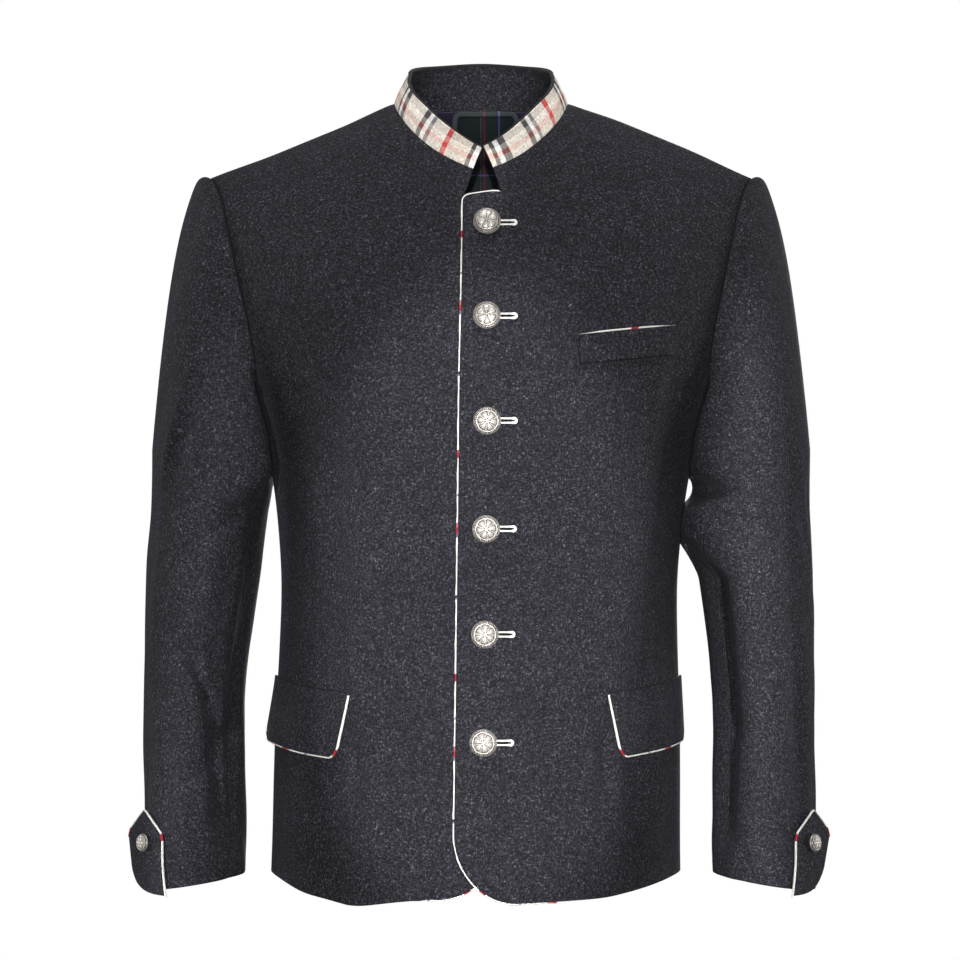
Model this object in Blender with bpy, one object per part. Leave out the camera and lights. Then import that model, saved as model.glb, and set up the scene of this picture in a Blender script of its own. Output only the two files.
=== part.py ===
"""Tyrolean loden jacket in its worn form, hollow, with no wearer.

Metres, +Z up. The wearer faces -Y and their left side is at +X. The origin lies midway between the two points
where the shoulder seams meet the neck. Every cloth piece is a closed wall with its own outer and inner face.
"""

import math

import bmesh
import bpy
from mathutils import Vector

# ---- cloth and seams
CLOTH = 0.0022  # loden wall
COLLAR_CLOTH = 0.0011  # each of the collar's two leaves
LINING_CLOTH = 0.0010
GAP = 0.0003  # between pieces that are sewn or pressed together
CLEAR = 0.0007  # under a piece that lies on a curved panel
MITRE_MOST = 1.5  # the most a wall's inner corner is drawn out
SHARPEST_MEAN = 0.1  # the least cosine between a piece and the normal it shares
SHARPEST_CORNER = 0.35  # likewise between two edges of a rim
STRIP_ROUNDING = 0.2  # of a strip's thickness, at each of its two free corners
SAMPLE_STEP = 0.004  # over which a slope of the surface is taken

# ---- heights and widths of the body
SIDE_HEM_Z = -0.664
UNDERARM_Z = -0.255
SHOULDER_PEAK_Z = 0.0350  # where the two shoulder lines would meet over the centre
SHOULDER_FALL = 0.418
SHOULDER_EASE = 0.030  # how far from the centre the two lines round into each other
NECK_HALF_WIDTH = 0.0755
ROUNDNESS = 2.35  # exponent of the body's cross-section
FRONT_RISE = 1.8  # exponents of its vertical section, underarm to shoulder
BACK_RISE = 2.4
HEM_DIP = {-1: 0.0150, 1: 0.0080}  # how far the hem drops at the centre, front and back
LEAN_X = -0.0045  # sideways lean of the hem
LEAN_FROM_Z = -0.30

# The body from hem to underarm.
BODY = (
    # z, half_width, front_depth, back_depth
    (-0.690, 0.1785, 0.1385, 0.1290),
    (-0.640, 0.1772, 0.1370, 0.1280),
    (-0.580, 0.1765, 0.1340, 0.1255),
    (-0.530, 0.1755, 0.1310, 0.1215),
    (-0.470, 0.1730, 0.1285, 0.1150),
    (-0.420, 0.1720, 0.1280, 0.1125),
    (-0.380, 0.1742, 0.1295, 0.1140),
    (-0.335, 0.1793, 0.1330, 0.1190),
    (-0.295, 0.1870, 0.1360, 0.1250),
    (-0.255, 0.2000, 0.1380, 0.1300),
)
# The armhole: the angle climbs from underarm to shoulder tip, reach is the share of the depth at its edge.
ARMHOLE = (
    # angle_deg, x, front_reach, back_reach
    (0.0, 0.2000, 0.000, 0.000),
    (5.0, 0.1972, 0.360, 0.370),
    (9.0, 0.1965, 0.440, 0.455),
    (18.0, 0.2000, 0.490, 0.520),
    (32.2, 0.2080, 0.520, 0.560),
    (46.0, 0.2158, 0.530, 0.570),
    (61.0, 0.2232, 0.530, 0.570),
    (75.0, 0.2305, 0.510, 0.540),
    (90.0, 0.2370, 0.490, 0.490),
)
NOTCH_ANGLE = 39.4
COLLAR_END_ANGLE = 45.9
BACK_NECK_ANGLE = 66.4
RISE_ANGLES = (5.0, 11.0, 18.0, 25.0, 32.0, NOTCH_ANGLE, COLLAR_END_ANGLE, 53.0, 60.0,
               BACK_NECK_ANGLE, 68.0, 71.0, 75.5, 81.0, 86.0, 90.0)

# ---- front edges
EDGE_X = 0.0185  # how far a front passes the centre
EDGE_TOP_X = 0.0155
EDGE_SPREAD_Z, EDGE_TOP_Z = -0.30, -0.0875  # it narrows between these heights
CORNER_RADIUS = 0.0535
CORNER_ROWS = 5
BODY_ROWS = 10
SIDE_COLUMNS = 9
LAP_COLUMNS = 2
LAP_STRIP = 0.0330  # width of the columns that carry the lap
NOTCH_X = 0.0170  # inner corner of the notch under the collar
TOP_CORNER_CUT = 0.0025
LAYER = 0.00125  # half the step between the two fronts where they lap
LAYER_HOLD, LAYER_RUN = 0.023, 0.040  # how far past the centre the step holds, and the run that ends it
NECK_DROP = 0.067
NECK_ROUND = 1.45
BACK_NECK_ROUND = 2.2

# Soft folds of the body: a trough (or ridge, where depth is negative) along a straight line.
BODY_FOLDS = (
    # face, x_top, z_top, x_low, z_low, half_width, depth, low_share (of the depth, at its lower end)
    (-1, -0.128, -0.235, -0.112, -0.440, 0.020, 0.0045, 0.35),
    (-1, 0.138, -0.240, 0.122, -0.430, 0.020, 0.0045, 0.35),
    (-1, -0.098, -0.590, -0.094, -0.690, 0.014, -0.0040, 1.00),
    (-1, 0.102, -0.600, 0.108, -0.690, 0.016, -0.0025, 1.00),
    (-1, -0.060, -0.400, -0.074, -0.560, 0.016, -0.0018, 0.35),
    (-1, 0.066, -0.380, 0.074, -0.560, 0.016, -0.0018, 0.35),
    (1, -0.118, -0.240, -0.100, -0.440, 0.020, 0.0045, 0.35),
    (1, 0.118, -0.240, 0.100, -0.440, 0.020, 0.0045, 0.35),
    (1, -0.062, -0.560, -0.070, -0.690, 0.018, -0.0030, 1.00),
    (1, 0.066, -0.560, 0.074, -0.690, 0.018, -0.0030, 1.00),
)
FOLD_TOP_SHARE = 0.35
FOLD_END_REACH = 2.5  # half widths over which a fold dies away past its ends
FADE_AT_SIDE, FADE_AT_SHOULDER = 0.35, 0.3  # folds level out towards the seams: cosine, level

# ---- sleeves
SLEEVE = (
    # z, x_inner, x_outer, y_middle, half_depth
    (-0.300, 0.1880, 0.2860, 0.000, 0.0705),
    (-0.345, 0.1820, 0.2855, -0.001, 0.0680),
    (-0.390, 0.1860, 0.2868, -0.004, 0.0650),
    (-0.440, 0.1925, 0.2882, -0.010, 0.0615),
    (-0.490, 0.1980, 0.2882, -0.018, 0.0575),
    (-0.540, 0.1992, 0.2876, -0.026, 0.0535),
    (-0.590, 0.1985, 0.2868, -0.034, 0.0500),
    (-0.640, 0.1978, 0.2865, -0.041, 0.0475),
    (-0.669, 0.1985, 0.2865, -0.045, 0.0465),
)
SLEEVE_ROWS = [row[0] for row in SLEEVE]
SLEEVE_UP = tuple(reversed(SLEEVE))
CUFF_TILT = 0.0068  # the outer side of the cuff hangs lower
TILT_FROM_Z = -0.50
CUFF_FADE = 0.05  # folds level out over this height above the cuff
CAP_ROWS = 5
CAP_CROWDING = 1.25  # exponent that crowds the cap's rows towards the armhole
# The cap's curve. Each pair is a mean and what the shoulder tip adds to it and the underarm takes off.
CAP_OUT = (0.0165, 0.0085)  # how far it leaves the armhole
CAP_UP = (0.43, 0.11)  # how far it rises from the first ring, as a share of the span
CAP_UP_IN = (0.015, 0.075)  # its inward slant there
CAP_TO_FRONT = 0.35
CAP_DROP, CAP_DROP_UNDER = 0.15, 0.75
SLEEVE_SPREAD = {-1: 0.0032, 1: 0.0}  # each sleeve's swing from the mean
SPREAD_FROM_Z, SPREAD_TO_Z = -0.28, -0.40
FRONT_SEAM_SHARE = 0.15  # of the half armhole, from the underarm
BACK_SEAM_SHARE = 0.34
SLEEVE_FOLDS = (
    # side, angle_deg (0 outer, 90 front), z, half_turn_deg, half_height, rise_per_90deg, depth
    (-1, 115.0, -0.360, 40.0, 0.014, 0.060, 0.0030),
    (-1, 95.0, -0.470, 45.0, 0.013, -0.040, 0.0028),
    (-1, 120.0, -0.560, 45.0, 0.014, 0.050, 0.0025),
    (-1, -80.0, -0.440, 50.0, 0.015, 0.030, 0.0025),
    (1, 115.0, -0.350, 40.0, 0.014, 0.060, 0.0030),
    (1, 60.0, -0.450, 40.0, 0.013, -0.050, 0.0026),
    (1, 125.0, -0.540, 45.0, 0.014, 0.040, 0.0025),
    (1, -80.0, -0.450, 50.0, 0.015, 0.030, 0.0025),
)

# ---- collar: how the stand rises from the neck seam, from front end (0) to centre back (1)
COLLAR = (
    # share, rise, lean_in, slant_to_front
    (0.00, 0.0195, 0.0150, 0.0055),
    (0.15, 0.0205, 0.0155, 0.0030),
    (0.35, 0.0235, 0.0145, 0.0005),
    (0.55, 0.0285, 0.0160, 0.0000),
    (0.75, 0.0350, 0.0112, 0.0000),
    (0.90, 0.0386, 0.0056, 0.0000),
    (1.00, 0.0390, 0.0040, 0.0000),
)
COLLAR_BULGE = 0.0012  # outwards, at half height
BINDING_HEIGHT = 0.0018
NECK_AXIS_Y = -0.020

# ---- lining and hanger loop
LOOP_WIDTH = 0.0060
LOOP_HALF_SPAN = 0.0270
LOOP_X = 0.0040
LOOP_DROP = 0.0140
LOOP_BEND, LOOP_BEND_STEPS = 0.0060, 3
LOOP_RISE = -0.0055

# ---- pockets
FLAP_TOP = {"front_x": 0.1075, "front_z": -0.5035, "rear_z": -0.4950}
FLAP_REAR_ANGLE = 86.0
FLAP_HEIGHT = 0.0550
FLAP_SLANT = 0.0085
FLAP_LENGTH = 0.155  # round the body
FLAP_CORNER = 0.0100
FLAP_CORNER_SHARES = (0.012, 0.040)  # columns added at the round corners
FLAP_COLUMNS = 9
FLAP_ROWS = 4
FLAP_LIFT_FRONT, FLAP_LIFT_REAR = 0.0020, {-1: 0.0050, 1: 0.0010}  # how far its lower edge stands off
FLAP_LIFT_ALONG, FLAP_LIFT_DOWN = 1.5, 1.3  # exponents of how the lift grows
WELT = {"x0": 0.0810, "z0": -0.2050, "x1": 0.1630, "z1": -0.1960}
WELT_HEIGHT = 0.0258
WELT_COLUMNS = 6
PIPING_WIDTH = 0.0026
HEM_PIPING_COLUMNS = 4  # columns of the hem that the front's piping runs along
EDGE_PIPING_INSET = 0.05 * CLOTH  # the front's piping is this much thinner than the cloth on each face

# ---- buttons
BUTTON_HEIGHTS = (-0.1110, -0.1900, -0.2770, -0.3670, -0.4550, -0.5450)
BUTTON_X = 0.0050
BUTTON_RADIUS = 0.0115
CUFF_BUTTON_RADIUS = 0.0076
SHANK_RADIUS = 0.0014
BUTTON_SEGMENTS = 12
SLIT_WIDTH, SLIT_HEIGHT, SLIT_REACH = 0.0060, 0.0036, 0.0060
LIP_START, LIP_END = 0.0045, 0.0250  # measured from the button's centre
LIP_HALF_HEIGHT = 0.0026
LIP_THICKNESS = 0.0009
LIP_SECTION = (
    # sideways, height, as shares of the half height and the thickness; the groove is in the middle
    (-1.0, 0.3),
    (-0.9, 0.9),
    (-0.4, 1.0),
    (0.0, 0.45),
    (0.4, 1.0),
    (0.9, 0.9),
    (1.0, 0.3),
    (1.0, 0.0),
    (-1.0, 0.0),
)
LIP_ENDS = (
    # distance from the button's centre, size
    (LIP_START, 1.0),
    (LIP_END - 0.0010, 1.0),
    (LIP_END, 0.7),
)
BUTTON_PROFILE = (
    # radius, height, as shares of the button's radius, from the rim's underside to the crown
    (0.78, 0.00),
    (0.96, 0.10),
    (1.00, 0.22),
    (0.90, 0.36),
    (0.62, 0.50),
    (0.30, 0.57),
)

# ---- cuff tabs
TAB_FRONT = (0.2755, -0.0850)  # plan position of the front edge at the hem, clear of the sleeve
TAB_REAR = (0.2970, -0.0540)
TAB_LEAN = 0.13  # the tab follows the sleeve forwards as it falls
TAB_BOW = 0.0015
TAB_BOTTOM_Z, TAB_SHOULDER_Z, TAB_TIP_Z = -0.6770, -0.6280, -0.6080
TAB_REAR_RISE = 0.0070  # how much higher the lower edge is at the rear
TAB_TUCK, TAB_TUCK_FROM = 0.0100, 0.6  # how far its lower edge turns in towards the cuff, from this share
TAB_COLUMNS = 4
TAB_ROWS = (0.0, 0.35, 0.65, 0.85, 1.0)
TAB_BUTTON_Z = -0.6350

MATERIALS = {
    # name: (colour, roughness, metallic)
    "loden": ((0.045, 0.045, 0.055, 1.0), 0.95, 0.0),
    "check": ((0.62, 0.55, 0.47, 1.0), 0.85, 0.0),
    "piping": ((0.75, 0.72, 0.68, 1.0), 0.80, 0.0),
    "binding": ((0.020, 0.020, 0.022, 1.0), 0.85, 0.0),
    "lining": ((0.012, 0.022, 0.030, 1.0), 0.55, 0.0),
    "pewter": ((0.62, 0.58, 0.50, 1.0), 0.35, 1.0),
}


# ---------------------------------------------------------------- helpers
def read(table, column, key):
    """The value of a column at a key, on a smooth curve through the table's rows."""
    keys = [row[0] for row in table]
    if key <= keys[0]:
        return table[0][column]
    if key >= keys[-1]:
        return table[-1][column]
    i = max(k for k in range(len(keys) - 1) if keys[k] <= key)

    def slope(k):
        low, high = max(k - 1, 0), min(k + 1, len(keys) - 1)
        return (table[high][column] - table[low][column]) / (keys[high] - keys[low])

    span = keys[i + 1] - keys[i]
    t = (key - keys[i]) / span
    a, b = table[i][column], table[i + 1][column]
    return (a * (1 + 2 * t) * (1 - t) ** 2 + b * t * t * (3 - 2 * t)
            + span * slope(i) * t * (1 - t) ** 2 - span * slope(i + 1) * t * t * (1 - t))


def ease(t):
    """0 to 1 with level ends."""
    t = min(max(t, 0.0), 1.0)
    return t * t * (3 - 2 * t)


def bisect(low, high, function):
    """Where a function that rises from low to high passes zero."""
    for _ in range(40):
        middle = 0.5 * (low + high)
        if function(middle) > 0:
            high = middle
        else:
            low = middle
    return 0.5 * (low + high)


# ---------------------------------------------------------------- the body's surface
def rise_angle(level):
    """Level 0 is the hem, 1 the underarm and 2 the shoulder seam; above 1 it is an angle."""
    return math.radians(90.0) * max(level - 1.0, 0.0)


def depth(face, level):
    z = SIDE_HEM_Z + min(level, 1.0) * (UNDERARM_Z - SIDE_HEM_Z)
    exponent = FRONT_RISE if face < 0 else BACK_RISE
    fall = max(math.cos(rise_angle(level)), 0.0) ** (2 / exponent)
    return read(BODY, 2 if face < 0 else 3, z) * fall


def half_width(face, level):
    if level <= 1.0:
        return read(BODY, 1, SIDE_HEM_Z + level * (UNDERARM_Z - SIDE_HEM_Z))
    angle = math.degrees(rise_angle(level))
    reach = read(ARMHOLE, 2 if face < 0 else 3, angle)
    return read(ARMHOLE, 1, angle) / (1 - reach**ROUNDNESS) ** (1 / ROUNDNESS)


def armhole_x(level):
    return read(ARMHOLE, 1, math.degrees(rise_angle(level)))


def shoulder_z(x):
    return SHOULDER_PEAK_Z - SHOULDER_FALL * math.hypot(x, SHOULDER_EASE)


def height_at(face, x, level):
    """Height of a row of the body at a distance x from the centre."""
    if level > 1.0:
        exponent = FRONT_RISE if face < 0 else BACK_RISE
        climb = math.sin(rise_angle(level)) ** (2 / exponent)
        return UNDERARM_Z + (shoulder_z(x) - UNDERARM_Z) * climb
    share = min(abs(x) / half_width(face, level), 1.0)
    return (SIDE_HEM_Z + level * (UNDERARM_Z - SIDE_HEM_Z)
            - HEM_DIP[face] * (1 - share**2) * (1 - level) ** 2)


def angle_of(face, x, level):
    """The angle round the body, 0 at the centre of the face and 90 degrees at the side, of a distance x."""
    share = min(abs(x) / half_width(face, level), 1.0)
    return math.copysign(math.asin(share ** (ROUNDNESS / 2)), x)


def level_of(face, z, x):
    return bisect(0.0, 2.0, lambda level: height_at(face, x, level) - z)


def level_at_angle(face, z, angle):
    def above(level):
        x = half_width(face, level) * abs(math.sin(angle)) ** (2 / ROUNDNESS)
        return height_at(face, x, level) - z
    return bisect(0.0, 1.0, above)


def fold_depth(face, x, z):
    """How far the folds sink the cloth here."""
    total = 0.0
    for fold_face, x_top, z_top, x_low, z_low, half, sunk, low_share in BODY_FOLDS:
        if fold_face != face:
            continue
        along = (z_top - z) / (z_top - z_low)
        near = min(max(along, 0.0), 1.0)
        across = (x - (x_top + (x_low - x_top) * near)) / half
        beyond = (along - near) * (z_top - z_low) / (FOLD_END_REACH * half)
        swell = read(((0.0, FOLD_TOP_SHARE), (0.5, 1.0), (1.0, low_share)), 1, near)
        total += sunk * swell * math.exp(-across * across - beyond * beyond)
    return total


def body_point(face, angle, level, layer=0, lift=0.0):
    """A point of the body's outer face; layer 1 is the front that laps over, -1 the one beneath."""
    wide = half_width(face, level)
    deep = depth(face, level)
    sine, cosine = abs(math.sin(angle)), max(math.cos(angle), 0.0)
    x = math.copysign(wide * sine ** (2 / ROUNDNESS), angle)
    y = face * deep * cosine ** (2 / ROUNDNESS)
    z = height_at(face, x, level)
    lean = LEAN_X * max(LEAN_FROM_Z - z, 0.0) / (LEAN_FROM_Z - SIDE_HEM_Z)
    out = Vector((math.copysign(sine, angle) / wide, face * cosine / max(deep, 1e-3),
                  0.5 * max(level - 1.0, 0.0) ** 2 / wide)).normalized()
    seam_fade = ease(cosine / FADE_AT_SIDE) * ease((2.0 - level) / FADE_AT_SHOULDER)
    lift -= fold_depth(face, x, z) * seam_fade
    if layer:
        lift += layer * LAYER * (1 - ease((layer * x - LAYER_HOLD) / LAYER_RUN))
    return Vector((x + lean, y, z)) + out * lift


def front_point(side, x, z, lift=0.0):
    """A point on the outer face of one front, by distance from the centre and height."""
    level = level_of(-1, z, x)
    return body_point(-1, angle_of(-1, x, level), level, side, lift)


# ---------------------------------------------------------------- panels of the body
def row_levels():
    """The rows that all four body panels share, hem to shoulder."""
    tall = UNDERARM_Z - SIDE_HEM_Z
    turns = [math.pi / 2 * k / CORNER_ROWS for k in range(CORNER_ROWS + 1)]
    levels = [CORNER_RADIUS * (1 - math.cos(turn)) / tall for turn in turns]
    start = levels[-1]
    levels += [start + (1.0 - start) * (k + 1) / BODY_ROWS for k in range(BODY_ROWS)]
    return levels + [1.0 + angle / 90.0 for angle in RISE_ANGLES]


LEVELS = row_levels()
NOTCH_ROW = LEVELS.index(1.0 + NOTCH_ANGLE / 90.0)
COLLAR_ROW = LEVELS.index(1.0 + COLLAR_END_ANGLE / 90.0)
BACK_NECK_ROW = LEVELS.index(1.0 + BACK_NECK_ANGLE / 90.0)
UNDERARM_ROW = CORNER_ROWS + BODY_ROWS
TOP_ROW = len(LEVELS) - 1


def front_neck_x(level):
    """Where a row of the front meets the neck seam."""
    if level >= 2.0:
        return NECK_HALF_WIDTH
    top = shoulder_z(NECK_HALF_WIDTH)

    def below(x):
        seam = top - NECK_DROP * max(1 - (x / NECK_HALF_WIDTH) ** NECK_ROUND, 0.0) ** (1 / NECK_ROUND)
        return seam - height_at(-1, x, level)
    return bisect(0.0, NECK_HALF_WIDTH, below)


def back_neck_x(level):
    """Where a row of the back meets the neck seam."""
    if level >= 2.0:
        return NECK_HALF_WIDTH
    seam_depth = depth(1, LEVELS[BACK_NECK_ROW])

    def behind(x):
        seam = seam_depth * max(1 - (x / NECK_HALF_WIDTH) ** BACK_NECK_ROUND, 0.0) ** (1 / BACK_NECK_ROUND)
        share = x / half_width(1, level)
        return depth(1, level) * (1 - share**ROUNDNESS) ** (1 / ROUNDNESS) - seam
    return bisect(0.0, NECK_HALF_WIDTH, behind)


def lap_edge_x(level):
    """The free edge of a front, past the centre, with its round lower corner."""
    tall = level * (UNDERARM_Z - SIDE_HEM_Z)
    top_share = ease((height_at(-1, 0.0, level) - EDGE_SPREAD_Z) / (EDGE_TOP_Z - EDGE_SPREAD_Z))
    edge = -EDGE_X + (EDGE_X - EDGE_TOP_X) * top_share
    if tall < CORNER_RADIUS:
        edge += CORNER_RADIUS - math.sqrt(CORNER_RADIUS**2 - (CORNER_RADIUS - tall) ** 2)
    return edge


def outer_x(face, level):
    return half_width(face, level) if level <= 1.0 else armhole_x(level)


def side_columns(face, level, inner_x):
    """Angles of the columns from an inner distance to the side seam or armhole."""
    start = angle_of(face, inner_x, level)
    end = angle_of(face, outer_x(face, level), level)
    return [start + (end - start) * k / SIDE_COLUMNS for k in range(SIDE_COLUMNS + 1)]


def front_grid(side):
    """Points of one front: two lap columns, then the columns that reach the side seam and the armhole."""
    points, cells = {}, []
    for row, level in enumerate(LEVELS):
        if row < NOTCH_ROW + 1:
            edge = lap_edge_x(level)
            middle = min(edge + LAP_STRIP, edge + 0.5 * (outer_x(-1, level) - edge))
            if row == NOTCH_ROW:
                middle = NOTCH_X
            for column in range(LAP_COLUMNS):
                x = edge + (middle - edge) * column / LAP_COLUMNS
                points[row, column] = body_point(-1, side * angle_of(-1, x, level), level, side)
        else:
            middle = front_neck_x(level)
        for k, angle in enumerate(side_columns(-1, level, middle)):
            points[row, LAP_COLUMNS + k] = body_point(-1, side * angle, level, side)
    corner = points[NOTCH_ROW, 0]
    for beside in (points[NOTCH_ROW, 1], points[NOTCH_ROW - 1, 0]):
        points[NOTCH_ROW, 0] = points[NOTCH_ROW, 0] + (beside - corner).normalized() * TOP_CORNER_CUT
    for row in range(TOP_ROW):
        first = 0 if row < NOTCH_ROW else LAP_COLUMNS
        cells += [(row, column) for column in range(first, LAP_COLUMNS + SIDE_COLUMNS)]
    return points, cells


def back_grid(side):
    points, cells = {}, []
    for row, level in enumerate(LEVELS):
        inner = back_neck_x(level) if row > BACK_NECK_ROW else 0.0
        for k, angle in enumerate(side_columns(1, level, inner)):
            points[row, k] = body_point(1, side * angle, level)
        if row < TOP_ROW:
            cells += [(row, k) for k in range(SIDE_COLUMNS)]
    return points, cells


# ---------------------------------------------------------------- sleeves
def armhole_loop(front, back):
    """Points round the armhole from the underarm up the front and down the back, with their angles."""
    rows = range(UNDERARM_ROW, TOP_ROW + 1)
    edges = ([front[row, LAP_COLUMNS + SIDE_COLUMNS] for row in rows],
             [back[row, SIDE_COLUMNS] for row in rows])
    loop = []
    for points, turn in zip(edges, (1, -1)):
        lengths = [0.0]
        for a, b in zip(points, points[1:]):
            lengths.append(lengths[-1] + (b - a).length)
        half = [(point, turn * math.pi * (1 - length / lengths[-1]))
                for point, length in zip(points, lengths)]
        loop += half if turn > 0 else half[-2:0:-1]
    return loop


def sleeve_ring(side, z, angle):
    """A point of the sleeve below the cap; angle 0 is the outer side, 90 degrees the front."""
    inner, outer = (read(SLEEVE_UP, column, z) for column in (1, 2))
    middle, half = (read(SLEEVE_UP, column, z) for column in (3, 4))
    spread = SLEEVE_SPREAD[side] * ease((SPREAD_FROM_Z - z) / (SPREAD_FROM_Z - SPREAD_TO_Z))
    sink = 0.0
    for fold_side, fold_angle, fold_z, half_turn, half_height, rise, sunk in SLEEVE_FOLDS:
        turn = (math.degrees(angle) - fold_angle + 180.0) % 360.0 - 180.0
        if fold_side == side:
            up = (z - fold_z - rise * turn / 90.0) / half_height
            sink += sunk * math.exp(-(turn / half_turn) ** 2 - up * up)
    sink *= ease((z - SLEEVE_ROWS[-1]) / CUFF_FADE)
    x = 0.5 * (inner + outer) + spread + (0.5 * (outer - inner) - sink) * math.cos(angle)
    y = middle - (half - sink) * math.sin(angle)
    tilt = CUFF_TILT * ease((TILT_FROM_Z - z) / (TILT_FROM_Z - SLEEVE_ROWS[-1]))
    return Vector((side * x, y, z - tilt * math.cos(angle)))


def cap_curve(side, start, angle, share):
    """From an armhole point over the sleeve head to the first ring."""
    end = sleeve_ring(side, SLEEVE_ROWS[0], angle)
    span = (end - start).length
    over = math.cos(angle)
    drop = CAP_DROP + CAP_DROP_UNDER * max(-over, 0.0)
    out = Vector((side, -CAP_TO_FRONT * math.sin(angle), -drop)).normalized()
    up = Vector((-side * (CAP_UP_IN[0] + CAP_UP_IN[1] * over), 0.0, 1.0))
    first = start + out * (CAP_OUT[0] + CAP_OUT[1] * over)
    second = end + up * span * (CAP_UP[0] + CAP_UP[1] * over)
    rest = 1 - share
    return (start * rest**3 + first * (3 * rest * rest * share)
            + second * (3 * rest * share * share) + end * share**3)


def sleeve_grid(side, loop):
    points = {}
    for column, (start, angle) in enumerate(loop):
        for row in range(CAP_ROWS):
            points[row, column] = cap_curve(side, start, angle, (row / CAP_ROWS) ** CAP_CROWDING)
        for k, z in enumerate(SLEEVE_ROWS):
            points[CAP_ROWS + k, column] = sleeve_ring(side, z, angle)
    return points


def sleeve_split(loop):
    """Loop places of the front and back seams of the two-piece sleeve."""
    angles = [angle for _, angle in loop]
    front = min(range(len(loop)), key=lambda i: abs(angles[i] - math.pi * (1 - FRONT_SEAM_SHARE)))
    back = min(range(len(loop)), key=lambda i: abs(angles[i] + math.pi * (1 - BACK_SEAM_SHARE)))
    return front, back


# ---------------------------------------------------------------- walls
class Wall:
    """A sheet of quads with one normal at each point, which becomes a closed wall."""

    def __init__(self, points, faces):
        self.points = points
        self.faces = faces
        self.normals = {}
        self.reach = {}

    def face_normal(self, face):
        a, b, c, d = (self.points[key] for key in face)
        return (c - a).cross(d - b).normalized()

    def triangles(self, face):
        """A quad cut along its shorter diagonal, the same way in every wall made from these points."""
        a, b, c, d = face
        if (self.points[a] - self.points[c]).length < (self.points[b] - self.points[d]).length:
            return (a, b, c), (a, c, d)
        return (b, c, d), (b, d, a)

    def cut_from_first(self, a, b):
        """Which way a quad of the rim is cut, the same for both pieces that meet there."""
        inner = {key: self.points[key] - self.normals[key] * self.reach[key] * CLOTH for key in (a, b)}
        return (self.points[a] - inner[b]).length < (self.points[b] - inner[a]).length

    def rim(self):
        """Edges with cloth on one side only, each with its direction into the cloth."""
        seen = {}
        for face in self.faces:
            for a, b in zip(face, face[1:] + face[:1]):
                seen.setdefault(frozenset((a, b)), []).append((a, b, face))
        edges = {}
        for found in seen.values():
            if len(found) == 1:
                a, b, face = found[0]
                inward = self.face_normal(face).cross(self.points[b] - self.points[a])
                normal = self.normals[a] + self.normals[b]
                inward -= normal * inward.dot(normal) / normal.length_squared
                edges[a, b] = inward.normalized()
        return edges


def grid_faces(cells, flip, wrap=None):
    """Quads of a grid, wound so that they face outwards."""
    faces = []
    for row, column in cells:
        after = column + 1 if wrap is None else (column + 1) % wrap
        face = ((row, column), (row, after), (row + 1, after), (row + 1, column))
        faces.append(face[::-1] if flip else face)
    return faces


def spot(point):
    """A place as a key, so that pieces that meet share it."""
    return tuple(round(value * 1e6) for value in point)


def share_normals(walls):
    """One normal for each place, the mean of the pieces that meet there, and how far inner corners reach."""
    meeting = {}
    for wall in walls:
        for face in wall.faces:
            for key in face:
                meeting.setdefault(spot(wall.points[key]), []).append(wall.face_normal(face))
    for wall in walls:
        for key in {key for face in wall.faces for key in face}:
            found = meeting[spot(wall.points[key])]
            normal = sum(found, Vector()).normalized()
            wall.normals[key] = normal
            wall.reach[key] = min(1 / max(min(each.dot(normal) for each in found), SHARPEST_MEAN), MITRE_MOST)


def mitred(directions):
    """The step that moves a corner by one along each of its edges' directions."""
    total = directions[0] + directions[-1]
    return total / max(1 + directions[0].dot(directions[-1]), SHARPEST_CORNER)


def make_object(name, material, vertices, faces, smooth=35.0):
    mesh = bpy.data.meshes.new(name)
    made = bmesh.new()
    corners = [made.verts.new(vertex) for vertex in vertices]
    for face in faces:
        made.faces.new([corners[i] for i in face])
    if made.calc_volume(signed=True) < 0:
        bmesh.ops.reverse_faces(made, faces=made.faces)
    made.to_mesh(mesh)
    made.free()
    mesh.shade_smooth()
    mesh.set_sharp_from_angle(angle=math.radians(smooth))
    mesh.materials.append(bpy.data.materials[material])
    thing = bpy.data.objects.new(name, mesh)
    bpy.context.scene.collection.objects.link(thing)
    return thing


def build_wall(name, material, wall, thickness, sink=0.0):
    """Close a sheet into a wall. Its rim draws back by half a gap, and sink sets the whole wall inwards."""
    around = {}
    for (a, b), inward in wall.rim().items():
        around.setdefault(a, []).append(inward)
        around.setdefault(b, []).append(inward)
    shifts = {key: mitred(inwards) for key, inwards in around.items()}
    keys = sorted({key for face in wall.faces for key in face})
    place = {key: i for i, key in enumerate(keys)}
    outer, inner = [], []
    for key in keys:
        inwards = wall.normals[key] * -wall.reach[key]
        base = wall.points[key] + shifts.get(key, Vector()) * (GAP / 2)
        outer.append(base + inwards * sink)
        inner.append(base + inwards * (sink + thickness))
    count = len(keys)
    faces = []
    for face in wall.faces:
        for corner in wall.triangles(face):
            faces.append([place[key] for key in corner])
            faces.append([place[key] + count for key in reversed(corner)])
    for a, b in wall.rim():
        i, j = place[a], place[b]
        if wall.cut_from_first(a, b):
            faces += [[j, i, j + count], [i, i + count, j + count]]
        else:
            faces += [[j, i, i + count], [j, i + count, j + count]]
    return make_object(name, material, outer + inner, faces)


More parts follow.
